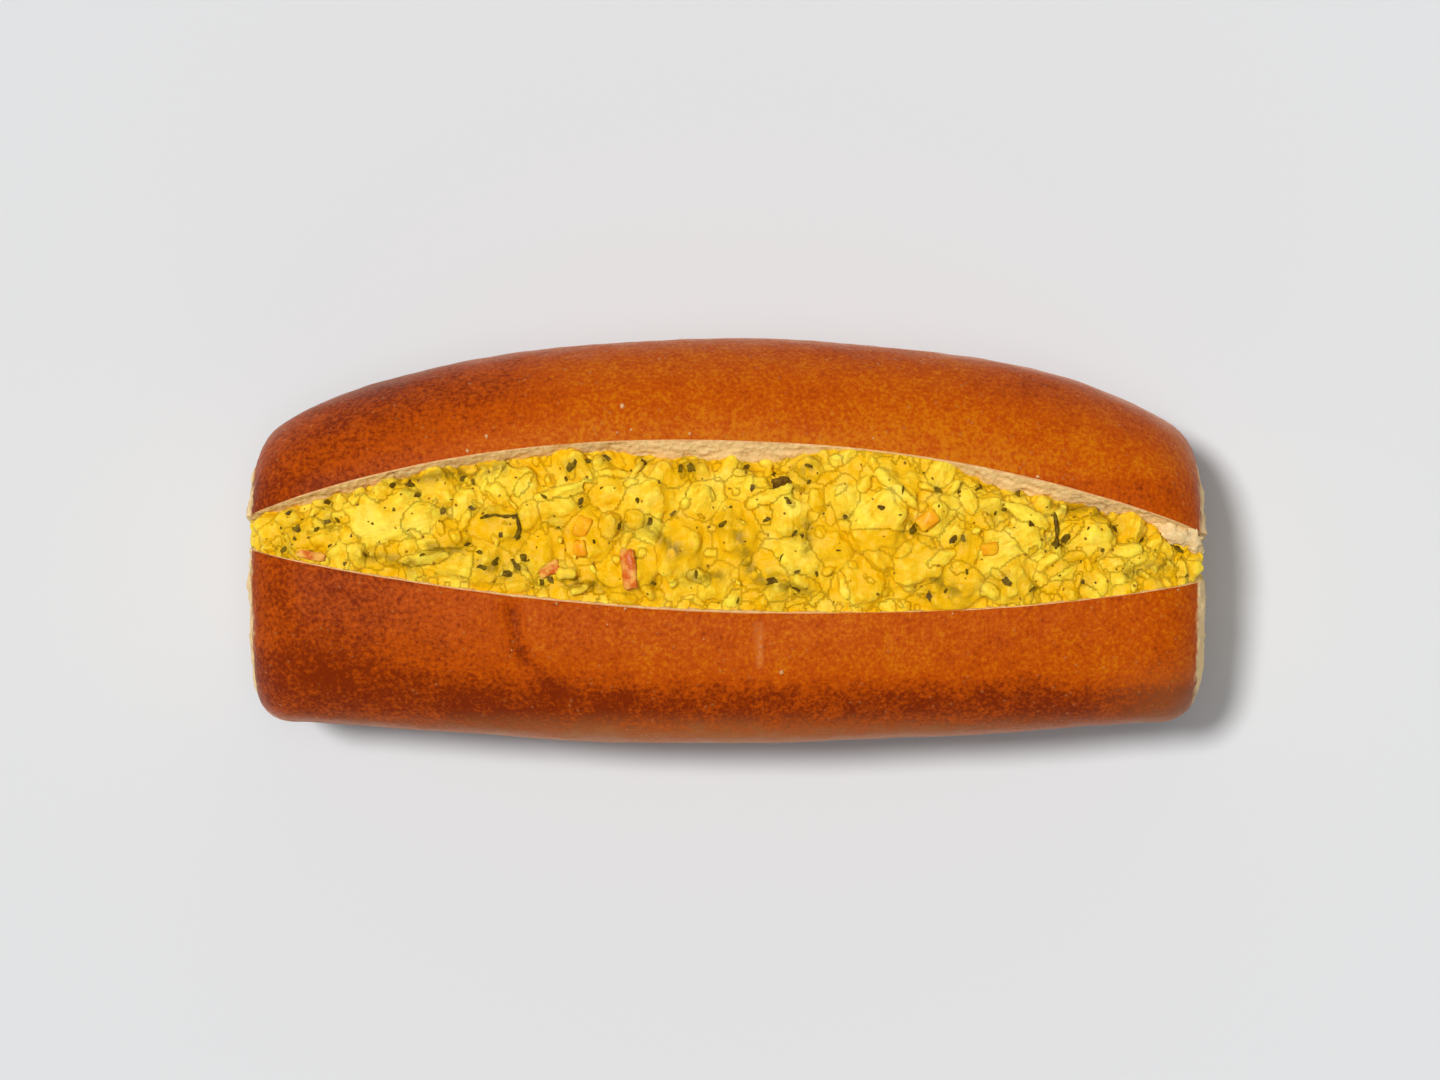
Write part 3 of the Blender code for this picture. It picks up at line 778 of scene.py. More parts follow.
@functools.cache
def ball(detail):
    """Points and faces of a ball of radius 1."""
    shape = bmesh.new()
    bmesh.ops.create_icosphere(shape, subdivisions=detail, radius=1)
    faces = [[vertex.index for vertex in face.verts] for face in shape.faces]
    points = [vertex.co.copy() for vertex in shape.verts]
    shape.free()
    return points, faces


def read_rows(mesh, field):
    flat = np.empty(len(mesh.vertices) * 3)
    mesh.vertices.foreach_get(field, flat)
    return flat.reshape(-1, 3)


def read_points(mesh):
    return read_rows(mesh, "co")


def read_normals(mesh):
    return read_rows(mesh, "normal")


def write_points(mesh, points):
    mesh.vertices.foreach_set("co", points.ravel())
    mesh.update()


def store(mesh, name, values, kind="FLOAT"):
    """Keeps a value, or a place, at each point of a mesh for its material."""
    attribute = mesh.attributes.new(name, kind, "POINT")
    field = "value" if kind == "FLOAT" else "vector"
    attribute.data.foreach_set(field, np.asarray(values, np.float32).ravel())


def spread_out(mesh, values, times):
    """Averages values, one row a point, with their neighbours' a number of times."""
    ends = np.empty(len(mesh.edges) * 2, int)
    mesh.edges.foreach_get("vertices", ends)
    a, b = ends.reshape(-1, 2).T
    count = np.bincount(a, minlength=len(values)) + np.bincount(b, minlength=len(values))
    columns = values.reshape(len(values), -1).astype(float)
    for _ in range(times):
        summed = np.zeros_like(columns)
        for i in range(columns.shape[1]):
            summed[:, i] += np.bincount(a, columns[b, i], len(values))
            summed[:, i] += np.bincount(b, columns[a, i], len(values))
        columns = (columns + summed) / (1 + count[:, None])
    return columns.reshape(values.shape)


def hollowness(mesh, times):
    """How far each point lies below the level of the surface round it, in metres."""
    points = read_points(mesh)
    return ((spread_out(mesh, points, times) - points) * read_normals(mesh)).sum(1)


def noise_at(points, size, seed=0.0, octaves=1):
    """Smooth noise from about -1 to 1, with features as large as size and finer ones on them."""
    shift = Vector((seed, -seed, 2 * seed))
    if octaves == 1:
        return np.array([noise.noise(Vector(point) / size + shift) for point in points])
    return np.array([noise.fractal(Vector(point) / size + shift, 0.9, 2.1, octaves) for point in points])


def step(values, low, high):
    """0 below low and 1 above high, with a smooth step from one to the other."""
    t = np.clip((values - low) / (high - low), 0, 1)
    return t * t * (3 - 2 * t)


def distance_to_path(points, path):
    nearest = np.full(len(points), np.inf)
    for a, b in zip(np.array(path), np.array(path)[1:]):
        along = np.clip((points - a) @ (b - a) / ((b - a) @ (b - a)), 0, 1)
        nearest = np.minimum(nearest, np.linalg.norm(points - (a + along[:, None] * (b - a)), axis=1))
    return nearest


def near_path(points, path, width):
    """1 on a path seen from above, falling off smoothly to the sides."""
    near = distance_to_path(points[:, :2], path) / width
    return np.exp(-near * near)


# ---------------------------------------------------------------- the bun


CRUST_SURFACE = {
    "Specular IOR Level": 0.035,
    "Sheen Weight": 0.21,
    "Sheen Roughness": 0.25,
    "Sheen Tint": (1.0, 0.72, 0.55, 1.0),
}
CRUMB_SURFACE = {
    "Specular IOR Level": 0.12,
    "Roughness": 0.88,
    "Subsurface Weight": 0.22,
    "Subsurface Radius": (1.0, 0.6, 0.3),
    "Subsurface Scale": 1.2 * MM,
}
CRUST_FACE, CUT_FACE, END_FACE = range(3)  # the finish that each face of the roll takes


def bread(finish, place, shade):
    """The colour of open crumb, darker in its pores and hollows as painted shade."""
    # Painted shade: the crumb darkens where it lies below the surface round it.
    hollow = finish.stored("hollow").between(0.0, 0.45 * MM)
    fine = 0.5 - place.noise(0.9 * MM, 4, 0.65)
    patches = 0.5 - place.noise(4.5 * MM, 3)
    deep = [part * darker for part, darker in zip(shade, PORE_SHADE)]
    return (hollow * 0.8 + fine * 0.9 + patches * 0.9).between(0.0, 1.0).mix(shade, deep)


def browning(finish, patches, mottle, grain):
    """How dark the crust is drawn: most at the left end and in a band along the base, with painted shade
    in that band and along the fold, and painted light beside the crown's lip.
    """
    x, y, _ = finish.place.split()
    crown = y.between(0, 5 * MM)
    # Painted light: the crown's crust just beside the cut is made paler, where it faces up towards the
    # lamps.
    lit_near_cut = y.between(27 * MM, 16 * MM) * y.between(10 * MM, 12 * MM)
    left_end = x.between(-18 * MM, -68 * MM)
    low = y - x.between(-36 * MM, -78 * MM) * 5.5 * MM
    # A darker band along the base: partly deeper baking, partly painted shade where the base turns away
    # from the key light.
    dark_band_and_shade = low.between(-22 * MM, -28 * MM) * low.between(-37 * MM, -30 * MM)
    dark_band_and_shade = dark_band_and_shade * (0.42 + mottle * 0.55) * (1 - left_end * 0.55)
    to_ends = left_end * (0.46 + crown * 0.24) + x.between(36 * MM, 72 * MM) * crown * 0.22
    baked = mottle.between(0.24, 0.80) * 0.36 + patches * 0.16 + dark_band_and_shade + to_ends
    # Painted shade darkens the fold's crease; painted light pales the crust beside the crown's lip.
    return baked + finish.stored("fold_shade") * 0.42 - lit_near_cut * 0.30 + (grain - 0.5) * 2.2 + 0.03


def thin_crust_and_sheen(place, patches, mottle, grain):
    """Where the crust is drawn tan: on the base's flank, partly paler crust and partly painted sheen
    along its rim, and faintly halfway down the crown, partly a paler side and partly painted sheen.
    """
    x, y, z = place.split()
    uneven = 0.18 + patches * 0.30 + mottle.between(0.30, 0.70) * 0.40 + grain * 0.40
    corner = x.between(60 * MM, 84 * MM) * y.between(-18 * MM, -31 * MM)
    # Partly a paler baked base, partly painted sheen along the base's rim.
    flank = y.between(-29 * MM, -36 * MM) * uneven + corner * grain * 0.9
    halfway_down = z.between(22 * MM, 34 * MM) * z.between(46 * MM, 34 * MM)
    # Partly a paler side, partly painted sheen along the crown's widest part.
    widest_sheen = y.between(0, 5 * MM) * halfway_down * mottle.between(0.30, 0.62)
    return flank * 0.82 + widest_sheen * 0.24


def pale_ends(bun, place):
    """1 on the two torn ends, reaching unevenly round their edges."""
    x, y, _ = place.split()
    ragged = (place.noise(2.2 * MM, 3) - 0.5) * 2.0 * MM
    torn_more = x.between(0, 60 * MM) * y.between(6 * MM, -6 * MM) * 0.9 * MM
    to_pale = LENGTH / 2 - bun.pale_end
    return (abs(x) + ragged + torn_more).between(to_pale - 0.5 * MM, to_pale + 0.4 * MM)


def crust_finish(bun):
    finish = Finish("crust", CRUST_SURFACE)
    place = finish.place
    patches = place.noise(15 * MM, 3).between(0.36, 0.66)
    mottle = place.noise(3.2 * MM, 4, 0.62)
    grain = place.noise(0.75 * MM, 3, 0.65)
    baked = browning(finish, patches, mottle, grain)
    light = baked.between(0.38, -0.34).mix(bun.crust_mid, bun.crust_light)
    toned = baked.between(0.24, 1.25).mix(light, bun.crust_dark)
    dark_tan = [part * TAN_SHADE for part in bun.crust_tan]
    tan = (grain + mottle).between(0.75, 1.25).mix(dark_tan, bun.crust_tan)
    tan_and_sheen = thin_crust_and_sheen(place, patches, mottle, grain).mix(toned, tan)
    # Painted glints: small pale dots on the blisters, which also raise the bump.
    blister_glints = place.cells(1.9 * MM).between(0.20, 0.10) * place.noise(5 * MM, 2).between(0.42, 0.60)
    glinted = (blister_glints * 0.34).mix(tan_and_sheen, bun.crust_tan)
    scratch = finish.stored("scuff") * grain.between(0.35, 0.65)
    scuffed = (scratch * 0.8).mix(glinted, bun.scuff)
    spots = place.cells(5.2 * MM).between(0.05, 0.03)
    crust = (spots * 0.45).mix(scuffed, bun.spot)
    pale = pale_ends(bun, place)
    finish.wear(
        colour=pale.mix(crust, bread(finish, place, bun.end_crumb)),
        roughness=bun.crust_roughness + (grain - 0.5) * 0.35 + mottle * 0.06 + pale * 0.35,
    )
    pores = pale * place.cells(1.1 * MM) * 1.4
    finish.relief(grain * 0.6 + place.noise(0.35 * MM, 2) * 0.25 + blister_glints * 0.4 + pores, 0.22 * MM)
    return finish


def dress_crumb(finish, place, colour):
    grain = place.noise(0.9 * MM, 4, 0.65)
    finish.wear(colour=colour)
    finish.relief(grain * 0.6 + place.cells(1.1 * MM) * 0.6, 0.5 * MM)
    return finish


def cut_finish(bun):
    """Cut bread, brown right at the lip and wetted by the sauce lower down."""
    finish = Finish("crumb", CRUMB_SURFACE)
    place = finish.place.stretched(CUT_STRETCH)
    sauced = finish.stored("sauced") * place.noise(4 * MM, 3).between(0.38, 0.60)
    colour = (sauced * 0.7).mix(bread(finish, place, bun.crumb), bun.sauced)
    edge = finish.stored("depth") + (place.noise(2 * MM, 2) - 0.5) * 0.5 * MM
    return dress_crumb(finish, place, (edge.between(0.30 * MM, 0.0) * 0.5).mix(colour, bun.crust_mid))


def end_finish(bun):
    """Soft, open bread where the roll was torn from the next ones."""
    finish = Finish("end_crumb", CRUMB_SURFACE)
    return dress_crumb(finish, finish.place, bread(finish, finish.place, bun.end_crumb))


def bun_points(bun):
    """Points of the roll ring by ring, and how far each lies below its lip of the cut.

    Each ring goes round the outside and back through the cut. Points gather where they show.
    """
    half = LENGTH / 2 - END_CLEARANCE
    turns = np.linspace(0, math.pi / 2, END_RINGS)[:-1]
    ends = half - BOTTOM_CORNER * (1 - np.cos(turns))
    inner_end = half - BOTTOM_CORNER
    between_ends = np.linspace(-inner_end, inner_end, bun.stations - 2 * len(ends))
    rings, depths = [], []
    for x in np.concatenate((-ends, between_ends, ends[::-1])):
        crust, top = crust_outline(x), top_height(x)
        cut = cut_outline(x, crust[0, 1], crust[-1, 1])
        outside = respaced(crust, bun.around, lambda p: 0.6 + step(p[:, 1], 12 * MM, 30 * MM))
        inside = respaced(cut, bun.around, lambda p: 0.5 + 1.8 * step(top - p[:, 1], 14 * MM, 5 * MM))
        section = np.concatenate((outside, inside[-2:0:-1]))
        lip_height = np.where(section[:, 0] > cut_middle(x), crust[0, 1], crust[-1, 1])
        depth = np.maximum(0, lip_height - section[:, 1])
        depth[: bun.around] = 0
        rings.append(np.column_stack((np.full(len(section), x), section)))
        depths.append(depth)
    return np.array(rings), np.concatenate(depths)


def swell_crust(bun, points):
    """Soft swells, creases and wrinkles, as a height for each point."""
    x, z = points[:, 0], points[:, 2]
    fade = np.clip((z - CUT_FLOOR) / CUT_FLOOR, 0, 1) * step(to_end(x), 2 * MM, TOP_CORNER)
    height = -CRUST_SWELL * (0.5 + noise_at(points, CRUST_SWELL_SIZE)) * fade
    high = step(z, HEIGHT - CROWN_DROP - 2 * MM, HEIGHT - CROWN_DROP + 2 * MM)
    for path, weight in ((FOLD, 1.0), (SCUFF, SCUFF_SHARE)):
        height -= weight * CREASE_DEPTH * near_path(points, path, CREASE_WIDTH) * high
    height -= FOLD_BOTTOM_SHARE * CREASE_DEPTH * near_path(points, FOLD, CREASE_WIDTH / 3) * high
    fine = noise_at(points, WRINKLE_SIZE, 3.1) + 0.5 * noise_at(points, FINE_WRINKLE_SIZE, 7.7)
    return height + bun.wrinkle * fine * step(z, 0.5 * MM, 6 * MM)


def tear_ends(bun, points):
    """Moves the two ends' points inwards: soft bread, unevenly torn from the next roll."""
    half = LENGTH / 2 - END_CLEARANCE
    near = np.nonzero(np.abs(points[:, 0]) > half - 2 * bun.pale_end)[0]
    ends = points[near]
    reach = step(np.abs(ends[:, 0]), half - 2 * bun.pale_end, half - 0.2 * bun.pale_end)
    uneven = 0.42 + 0.5 * noise_at(ends, TEAR_SIZE, 2.2) + 0.34 * noise_at(ends, FINE_TEAR_SIZE, 8.1)
    pores = np.clip(noise_at(ends, bun.pore_size * 0.7, 4.6), 0, 1)
    depth = bun.torn * (np.clip(uneven, 0, 1) + 0.6 * pores) * reach
    points[near, 0] -= np.sign(ends[:, 0]) * depth


def cap_grid(rings, station, around, rows, first, turn):
    """Points and faces across the bread on one end, from the crust's ring to the cut's."""
    ring, count = rings[station], rings.shape[1]
    start = station * count
    points, rails = [], []
    across = np.linspace(0, 1, rows + 1)[1:-1, None]
    for j in range(1, around - 1):
        inside = (2 * around - 2 - j) % count
        new = first + len(points)
        points += list(ring[j] * (1 - across) + ring[inside] * across)
        rails.append([start + j, *range(new, new + rows - 1), start + inside])
    faces = []
    for rail, after in zip(rails, rails[1:]):
        faces += [(rail[k], rail[k + 1], after[k + 1], after[k]) for k in range(rows)]
    faces += [(start, rails[0][k], rails[0][k + 1]) for k in range(rows)]
    faces += [(start + around - 1, rails[-1][k + 1], rails[-1][k]) for k in range(rows)]
    return points, [face[::-1] for face in faces] if turn < 0 else faces


def side_faces(stations, count, around):
    """Faces from ring to ring, and whether each is crust or in the cut."""
    faces, kinds = [], []
    for i in range(stations - 1):
        for j in range(count):
            k = (j + 1) % count
            faces.append((i * count + j, i * count + k, (i + 1) * count + k, (i + 1) * count + j))
            kinds.append(CRUST_FACE if j < around - 1 else CUT_FACE)
    return faces, kinds


def face_outwards(mesh):
    shape = bmesh.new()
    shape.from_mesh(mesh)
    bmesh.ops.recalc_face_normals(shape, faces=shape.faces)
    shape.to_mesh(mesh)
    shape.free()


def pore_depth(bun, points, depth):
    """Height of the cut's points: open pores that set in just below the lip."""
    drawn_out = points * np.array(CUT_STRETCH)
    pores = noise_at(drawn_out, bun.pore_size, 1.3) + 0.6 * noise_at(drawn_out, bun.pore_size / 2, 5.9)
    return -bun.pore * np.clip(pores, -0.1, 1) * step(depth, *PORES_FROM)


def sauce_stain(points):
    """1 where the filling has wetted the bread, and 0 on the bare crumb above it."""
    x, y, z = points.T
    crown = np.array([rim_below_crown(each) for each in x])
    rim = np.where(y > cut_middle(x), crown, RIM_BELOW_BASE)
    return step(top_height(x) - z, rim - 0.9 * MM, rim + 0.4 * MM)


def make_bun(bun):
    rings, depths = bun_points(bun)
    stations, count = rings.shape[:2]
    points = list(rings.reshape(-1, 3))
    faces, kinds = side_faces(stations, count, bun.around)
    for station, turn in ((0, 1), (stations - 1, -1)):
        new, cap = cap_grid(rings, station, bun.around, bun.cap_rows, len(points), turn)
        points += new
        faces += cap
        kinds += [END_FACE] * len(cap)
    finishes = (crust_finish(bun), cut_finish(bun), end_finish(bun))
    made = mesh_object("soft_roll", points, faces, finishes, BREAD_SMOOTH_BELOW)
    mesh = made.data
    mesh.polygons.foreach_set("material_index", kinds)
    face_outwards(mesh)
    place, normals = read_points(mesh), read_normals(mesh)
    on_ring = np.arange(len(depths)) % count
    crust, crumb = np.nonzero(on_ring < bun.around)[0], np.nonzero(on_ring >= bun.around)[0]
    height = np.zeros(len(place))
    height[crust] = swell_crust(bun, place[crust])
    height[crumb] = pore_depth(bun, place[crumb], depths[crumb])
    shaped = place + normals * height[:, None]
    tear_ends(bun, shaped)
    write_points(mesh, shaped)
    on_ends = np.full(len(place) - len(depths), 9 * MM)  # anywhere well below the lip
    upper = place[:, 2] > HEIGHT / 2
    store(mesh, "depth", np.concatenate((depths, on_ends)))
    store(mesh, "hollow", hollowness(mesh, BREAD_LEVEL))
    # Painted shade along the fold's crease, for the crust's colour.
    store(mesh, "fold_shade", near_path(place, FOLD, FOLD_SHADE_WIDTH) * upper)
    store(mesh, "scuff", near_path(place, SCUFF, SCUFF_SHADE_WIDTH) * upper)
    store(mesh, "sauced", sauce_stain(place))
    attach(made, BODY)
    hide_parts("bun")


class SANDWICH_OT_bun(Operator):
    """Makes the roll: crust outside, open crumb in the cut and soft pale ends"""

    bl_idname = "sandwich.bun"
    bl_label = "Bun"

    def execute(self, context):
        make_bun(context.scene.sandwich_bun)
        return {"FINISHED"}


# ---------------------------------------------------------------- the filling


def rim_below_crown(x):
    heaped = HEAPED_BY * math.exp(-(((x - HEAPED_AT) / HEAPED_HALF_SPAN) ** 4))
    bare = BARE_BY * max(0.0, (x - BARE_FROM) / (LENGTH / 2 - BARE_FROM))
    return RIM_BELOW_CROWN - heaped + bare


def heap_height(x, across):
    """Height of the filling's core, across running from 0 at the crown's wall to 1 at the base's."""
    rim = rim_below_crown(x) * (1 - across) + RIM_BELOW_BASE * across
    width = (lip(CROWN_LIP, x) - lip(BASE_LIP, x)) / (CROWN_LIP["peak"] - BASE_LIP["peak"])
    mound = MOUND * width * math.sin(math.pi * across)
    swell = noise.noise(Vector((x, across * SWELL_ACROSS, 0)) / FILLING_SWELL_SIZE) * FILLING_SWELL
    return float(top_height(x) - rim + mound + swell * math.sin(math.pi * across))


def heap_place(x, across):
    z = heap_height(x, across)
    crown, base = float(cut_wall(x, z, 1)) - GAP, float(cut_wall(x, z, -1)) + GAP
    return Vector((x, crown + (base - crown) * across, z))


def heap_above(x, y):
    """Point on the core's top at a place in plan."""
    crown, base = lip(CROWN_LIP, x), lip(BASE_LIP, x)
    return Vector((x, y, heap_height(x, min(1.0, max(0.0, float((crown - y) / (crown - base)))))))


def core_section(x):
    floor = CUT_FLOOR + GAP
    crown_top, base_top = heap_place(x, 0), heap_place(x, 1)
    bend = top_height(x) - FLARE_DEPTH
    top = [heap_place(x, i / FILLING_ACROSS) for i in range(FILLING_ACROSS + 1)]
    crown_side = [(cut_wall(x, z, 1) + SOAKED, z) for z in (floor, min(bend, crown_top.z - GAP))]
    base_side = [(cut_wall(x, z, -1) - SOAKED, z) for z in (min(bend, base_top.z - GAP), floor)]
    rims = (crown_top.y + GAP + SOAKED, crown_top.z), (base_top.y - GAP - SOAKED, base_top.z)
    return crown_side + [rims[0]] + [(point.y, point.z) for point in top] + [rims[1]] + base_side


def add_core(pile):
    half = LENGTH / 2 - CORE_INSET
    points = []
    for x in np.linspace(-half, half, FILLING_STATIONS):
        section = core_section(x)
        points += [(x, y, z) for y, z in section]
    count = len(section)
    last = len(points) - count
    faces = [tuple(range(count)), tuple(range(last + count - 1, last - 1, -1))]
    for start in range(0, last, count):
        for i in range(count):
            j = (i + 1) % count
            faces.append((start + j, start + i, start + count + i, start + count + j))
    pile.add(points, faces)


class Lump:
    """A piece of chicken: where it lies, how it is turned, its half sizes, and how pale it is."""

    def __init__(self, place, turn, size, pale=0.0, boxiness=CHUNK_BOXINESS, torn=0.0):
        self.place, self.turn, self.size = place, turn, Vector(size)
        self.pale, self.boxiness, self.torn = pale, boxiness, torn

    def add_to(self, pile, shift, detail=3):
        ways, faces = ball(detail)
        turned = Matrix.Translation(self.place) @ self.turn
        points = []
        for way in ways:
            total = sum(abs(part) ** self.boxiness for part in way) ** (1 / self.boxiness)
            bulge = CHUNK_GIRTH + CHUNK_DENTS * noise.noise(way * CHUNK_DENT_SCALE + shift)
            bulge += self.torn * noise.noise(way * TORN_SCALE + shift)
            points.append(turned @ (way * (bulge / total) * self.size))
        pile.add(points, faces)

    def local(self, points):
        """Points in the piece's own axes, in metres."""
        turn = np.array(self.turn.to_3x3())
        return (points - np.array(self.place)) @ turn


def random_shift(draw):
    return Vector(draw.uniform(0, 90) for _ in range(3))


def tumble(draw, tilt):
    turn = Matrix.Rotation(draw.uniform(0, math.tau), 4, "Z")
    return turn @ Matrix.Rotation(draw.uniform(-tilt, tilt), 4, "X")


def spot(i, count, margin, start):
    """Place on the core for one of many pieces, spread evenly along and across it."""
    x = (LENGTH / 2 - PIECE_MARGIN) * (2 * (i + 0.5) / count - 1)
    return heap_place(x, margin + (1 - 2 * margin) * ((start + i * GOLDEN) % 1))


def add_chunks(pile, draw):
    """The same lumps that the solid has, drawn in the same order."""
    lumps = []
    for i in range(CHUNKS):
        place = spot(i, CHUNKS, CHUNK_MARGIN, 0.5)
        near_end = (2 * abs(place.x) / LENGTH) ** 3
        half = draw.uniform(*CHUNK_HALF_LENGTH) * (1 + (CHUNK_END_SHARE - 1) * near_end)
        width, height = draw.uniform(*CHUNK_WIDTH_SHARE), draw.uniform(*CHUNK_HEIGHT_SHARE)
        size = Vector((half, half * width, half * height))
        place.z -= size.z * CHUNK_SUNK
        shift = random_shift(draw)
        pale = ((i * GOLDEN) % 1) ** 1.5
        lump = Lump(place, tumble(draw, CHUNK_TILT), size, pale, torn=CHUNK_TORN)
        lump.add_to(pile, shift, BALL_DETAIL)
        lumps.append(lump)
    return lumps


def add_placed(pile, draw, rows, sunk, pale, boxiness):
    """Pieces at their own places on the heap, sunk by a share of their half height."""
    lumps = []
    for x, y, size, turn in rows:
        place = heap_above(x, y)
        place.z -= size[2] * sunk
        turned = Matrix.Rotation(math.radians(turn), 4, "Z")
        lump = Lump(place, turned, size, pale, boxiness, CHUNK_TORN)
        lump.add_to(pile, random_shift(draw), BALL_DETAIL)
        lumps.append(lump)
    return lumps


def bit_places(draw, filling):
    """Where each small scrap lies, its scale, and how far it may rise from there."""
    for i in range(filling.bits):
        yield spot(i, filling.bits, BIT_MARGIN, 0.3), 1.0, BIT_RISE
    for i, x in enumerate(np.linspace(-1, 1, filling.rim_bits) * (LENGTH / 2 - PIECE_MARGIN)):
        in_from_wall = draw.uniform(0, RIM_BIT_SHARE)
        across = in_from_wall if i % 2 else 1 - in_from_wall
        yield heap_place(x, across), RIM_BIT_SCALE, EDGE_BIT_RISE
    for i in range(filling.end_bits):
        x = LENGTH / 2 - CORE_INSET + draw.uniform(*END_BIT_SPREAD) * MM
        x *= 1 if i % 2 else -1
        z = CUT_FLOOR + (heap_height(x, 0.5) - CUT_FLOOR) * (i + 1) / filling.end_bits
        y = draw.uniform(float(cut_wall(x, z, -1)), float(cut_wall(x, z, 1)))
        yield Vector((x, y, z)), END_BIT_SCALE, EDGE_BIT_RISE


def add_bits(pile, draw, filling):
    """Scraps between the lumps: about half of them are long shreds."""
    lumps = []
    for i, (place, scale, rise) in enumerate(list(bit_places(draw, filling))):
        half = filling.bit_low + (filling.bit_high - filling.bit_low) * draw.random() ** 1.8
        half *= scale
        slim = draw.uniform(*(BIT_SLIM if i % 2 else BIT_STOUT))
        size = (half, half * slim, half * slim * draw.uniform(0.7, 1.0))
        near_end = (2 * abs(place.x) / LENGTH) ** 4
        place.z += draw.uniform(-BIT_SUNK, rise) * (1 - 0.6 * near_end)
        turned = tumble(draw, BIT_TILT)
        lump = Lump(place, turned, size, draw.random(), draw.uniform(*BIT_BOXINESS), BIT_TORN)
        lump.add_to(pile, random_shift(draw))
        lumps.append(lump)
    return lumps


def evaluated(body, name):
    """The object's mesh with its modifiers applied, in a new object that takes its place."""
    bpy.context.view_layer.update()
    graph = bpy.context.evaluated_depsgraph_get()
    mesh = bpy.data.meshes.new_from_object(body.evaluated_get(graph))
    mesh.name = name
    bpy.data.objects.remove(body)
    made = bpy.data.objects.new(name, mesh)
    bpy.context.scene.collection.objects.link(made)
    return made


def keep_largest(mesh):
    """Drops loose scraps, and hollows sealed inside."""
    shape = bmesh.new()
    shape.from_mesh(mesh)
    left, largest = set(shape.verts), set()
    while left:
        found = {left.pop()}
        edge = list(found)
        while edge:
            near = [other for link in edge.pop().link_edges for other in link.verts if other in left]
            left.difference_update(near)
            found.update(near)
            edge += near
        largest = max(largest, found, key=len)
    bmesh.ops.delete(shape, geom=[vertex for vertex in shape.verts if vertex not in largest])
    shape.to_mesh(mesh)
    shape.free()


def skinned(pile, name, grain, smoothing):
    """One closed skin over all the pieces of a pile."""
    rough = mesh_object("rough", pile.points, pile.faces, [])
    remesh = rough.modifiers.new("remesh", "REMESH")
    remesh.mode, remesh.voxel_size = "VOXEL", grain
    smooth = rough.modifiers.new("smooth", "SMOOTH")
    smooth.factor, smooth.iterations = 0.5, smoothing
    skin = evaluated(rough, name)
    keep_largest(skin.data)
    return skin


def fused(pile, filling):
    """One skin over the core and all its lumps, with fewer points where the bread hides it."""
    skin = skinned(pile, "skin", filling.grain, SKIN_SMOOTHING)
    points = read_points(skin.data)
    inside = to_end(points[:, 0]) > 2 * FILLING_INSET
    hidden = np.nonzero((points[:, 2] < HIDDEN_BELOW) & inside)[0]
    skin.vertex_groups.new(name="hidden").add(hidden.tolist(), 1.0, "REPLACE")
    fewer = skin.modifiers.new("fewer", "DECIMATE")
    fewer.vertex_group = "hidden"
    fewer.ratio = 1 - (1 - filling.deep_share) * len(hidden) / len(points)
    made = evaluated(skin, "curried_chicken")
    made.vertex_groups.clear()
    return made


def piece_grain(points, lumps):
    """For each point, its place in the axes of the piece that it belongs to, and how pale that is."""
    nearest = np.full(len(points), np.inf)
    grain, pale = points.copy(), np.zeros(len(points))
    for index, lump in enumerate(lumps):
        near = np.nonzero(np.abs(points[:, 0] - lump.place.x) < PIECE_REACH * max(lump.size))[0]
        local = lump.local(points[near])
        distance = np.linalg.norm(local / np.array(lump.size), axis=1)
        closer = (distance < nearest[near]) & (distance < PIECE_NEAR)
        chosen = near[closer]
        nearest[chosen] = distance[closer]
        grain[chosen] = local[closer] + index * PIECE_SHIFT * MM
        pale[chosen] = lump.pale
    return grain, pale


def roughen(filling, points, normals, grain, pale):
    """Fibres along each piece, and lumpy sauce over them all."""
    at_end = step(-to_end(points[:, 0]), -5 * MM, -2.5 * MM)
    shown = np.maximum(at_end, step(points[:, 2], HIDDEN_BELOW, HIDDEN_BELOW + 6 * MM))
    fibres = 0.5 - 2 * np.abs(noise_at(grain * np.array(FIBRE_STRETCH), FIBRE_SIZE))
    lumpy = noise_at(points, SAUCE_LUMP_SIZE, 4.4, 3)
    height = filling.fibre * fibres * (0.5 + 0.5 * pale) + filling.sauce_relief * lumpy
    return points + normals * (height * shown)[:, None]


def herb_stain(points):
    """1 where herb has stained the sauce, falling off smoothly round each flake and streak."""
    stain = np.zeros(len(points))
    for path in STAINS:
        stain = np.maximum(stain, near_path(points, path, STAIN_WIDTH))
    for x, y, long in HERB_SPOTS:
        width = SPOT_STAIN_WIDTH * long / SPOT_STAIN_FLAKE
        away = np.hypot(points[:, 0] - x, points[:, 1] - y) / width
        stain = np.maximum(stain, SPOT_STAIN * np.exp(-away * away))
    return stain


def eased(values, limit, room):
    """Values held below a limit, slowing down over the last room before it."""
    over = np.maximum(values - (limit - room), 0)
    return np.where(over > 0, limit - room * np.exp(-over / room), values)


def held_in_cut(points):
    """Keeps the filling between the two walls, above the floor of the cut and short of the ends."""
    x, y, z = points.T
    x = np.sign(x) * eased(np.abs(x), LENGTH / 2 - END_ROOM, END_EASE)
    z = np.maximum(z, CUT_FLOOR + GAP)
    below = top_height(x) - z
    soaked = SOAKED * step(below, 0, MM) * (0.15 + 0.85 * step(to_end(x), 2 * MM, 5 * MM))
    held = np.minimum(z, top_height(x))
    y = eased(y, cut_wall(x, held, 1) + soaked, SOAKED_ROOM)
    y = -eased(-y, soaked - cut_wall(x, held, -1), SOAKED_ROOM)
    return np.column_stack((x, y, z))


SAUCE_SURFACE = {
    "Specular IOR Level": 0.15,
    "Subsurface Weight": 0.30,
    "Subsurface Radius": (1.0, 0.6, 0.08),
    "Subsurface Scale": 1.5 * MM,
}


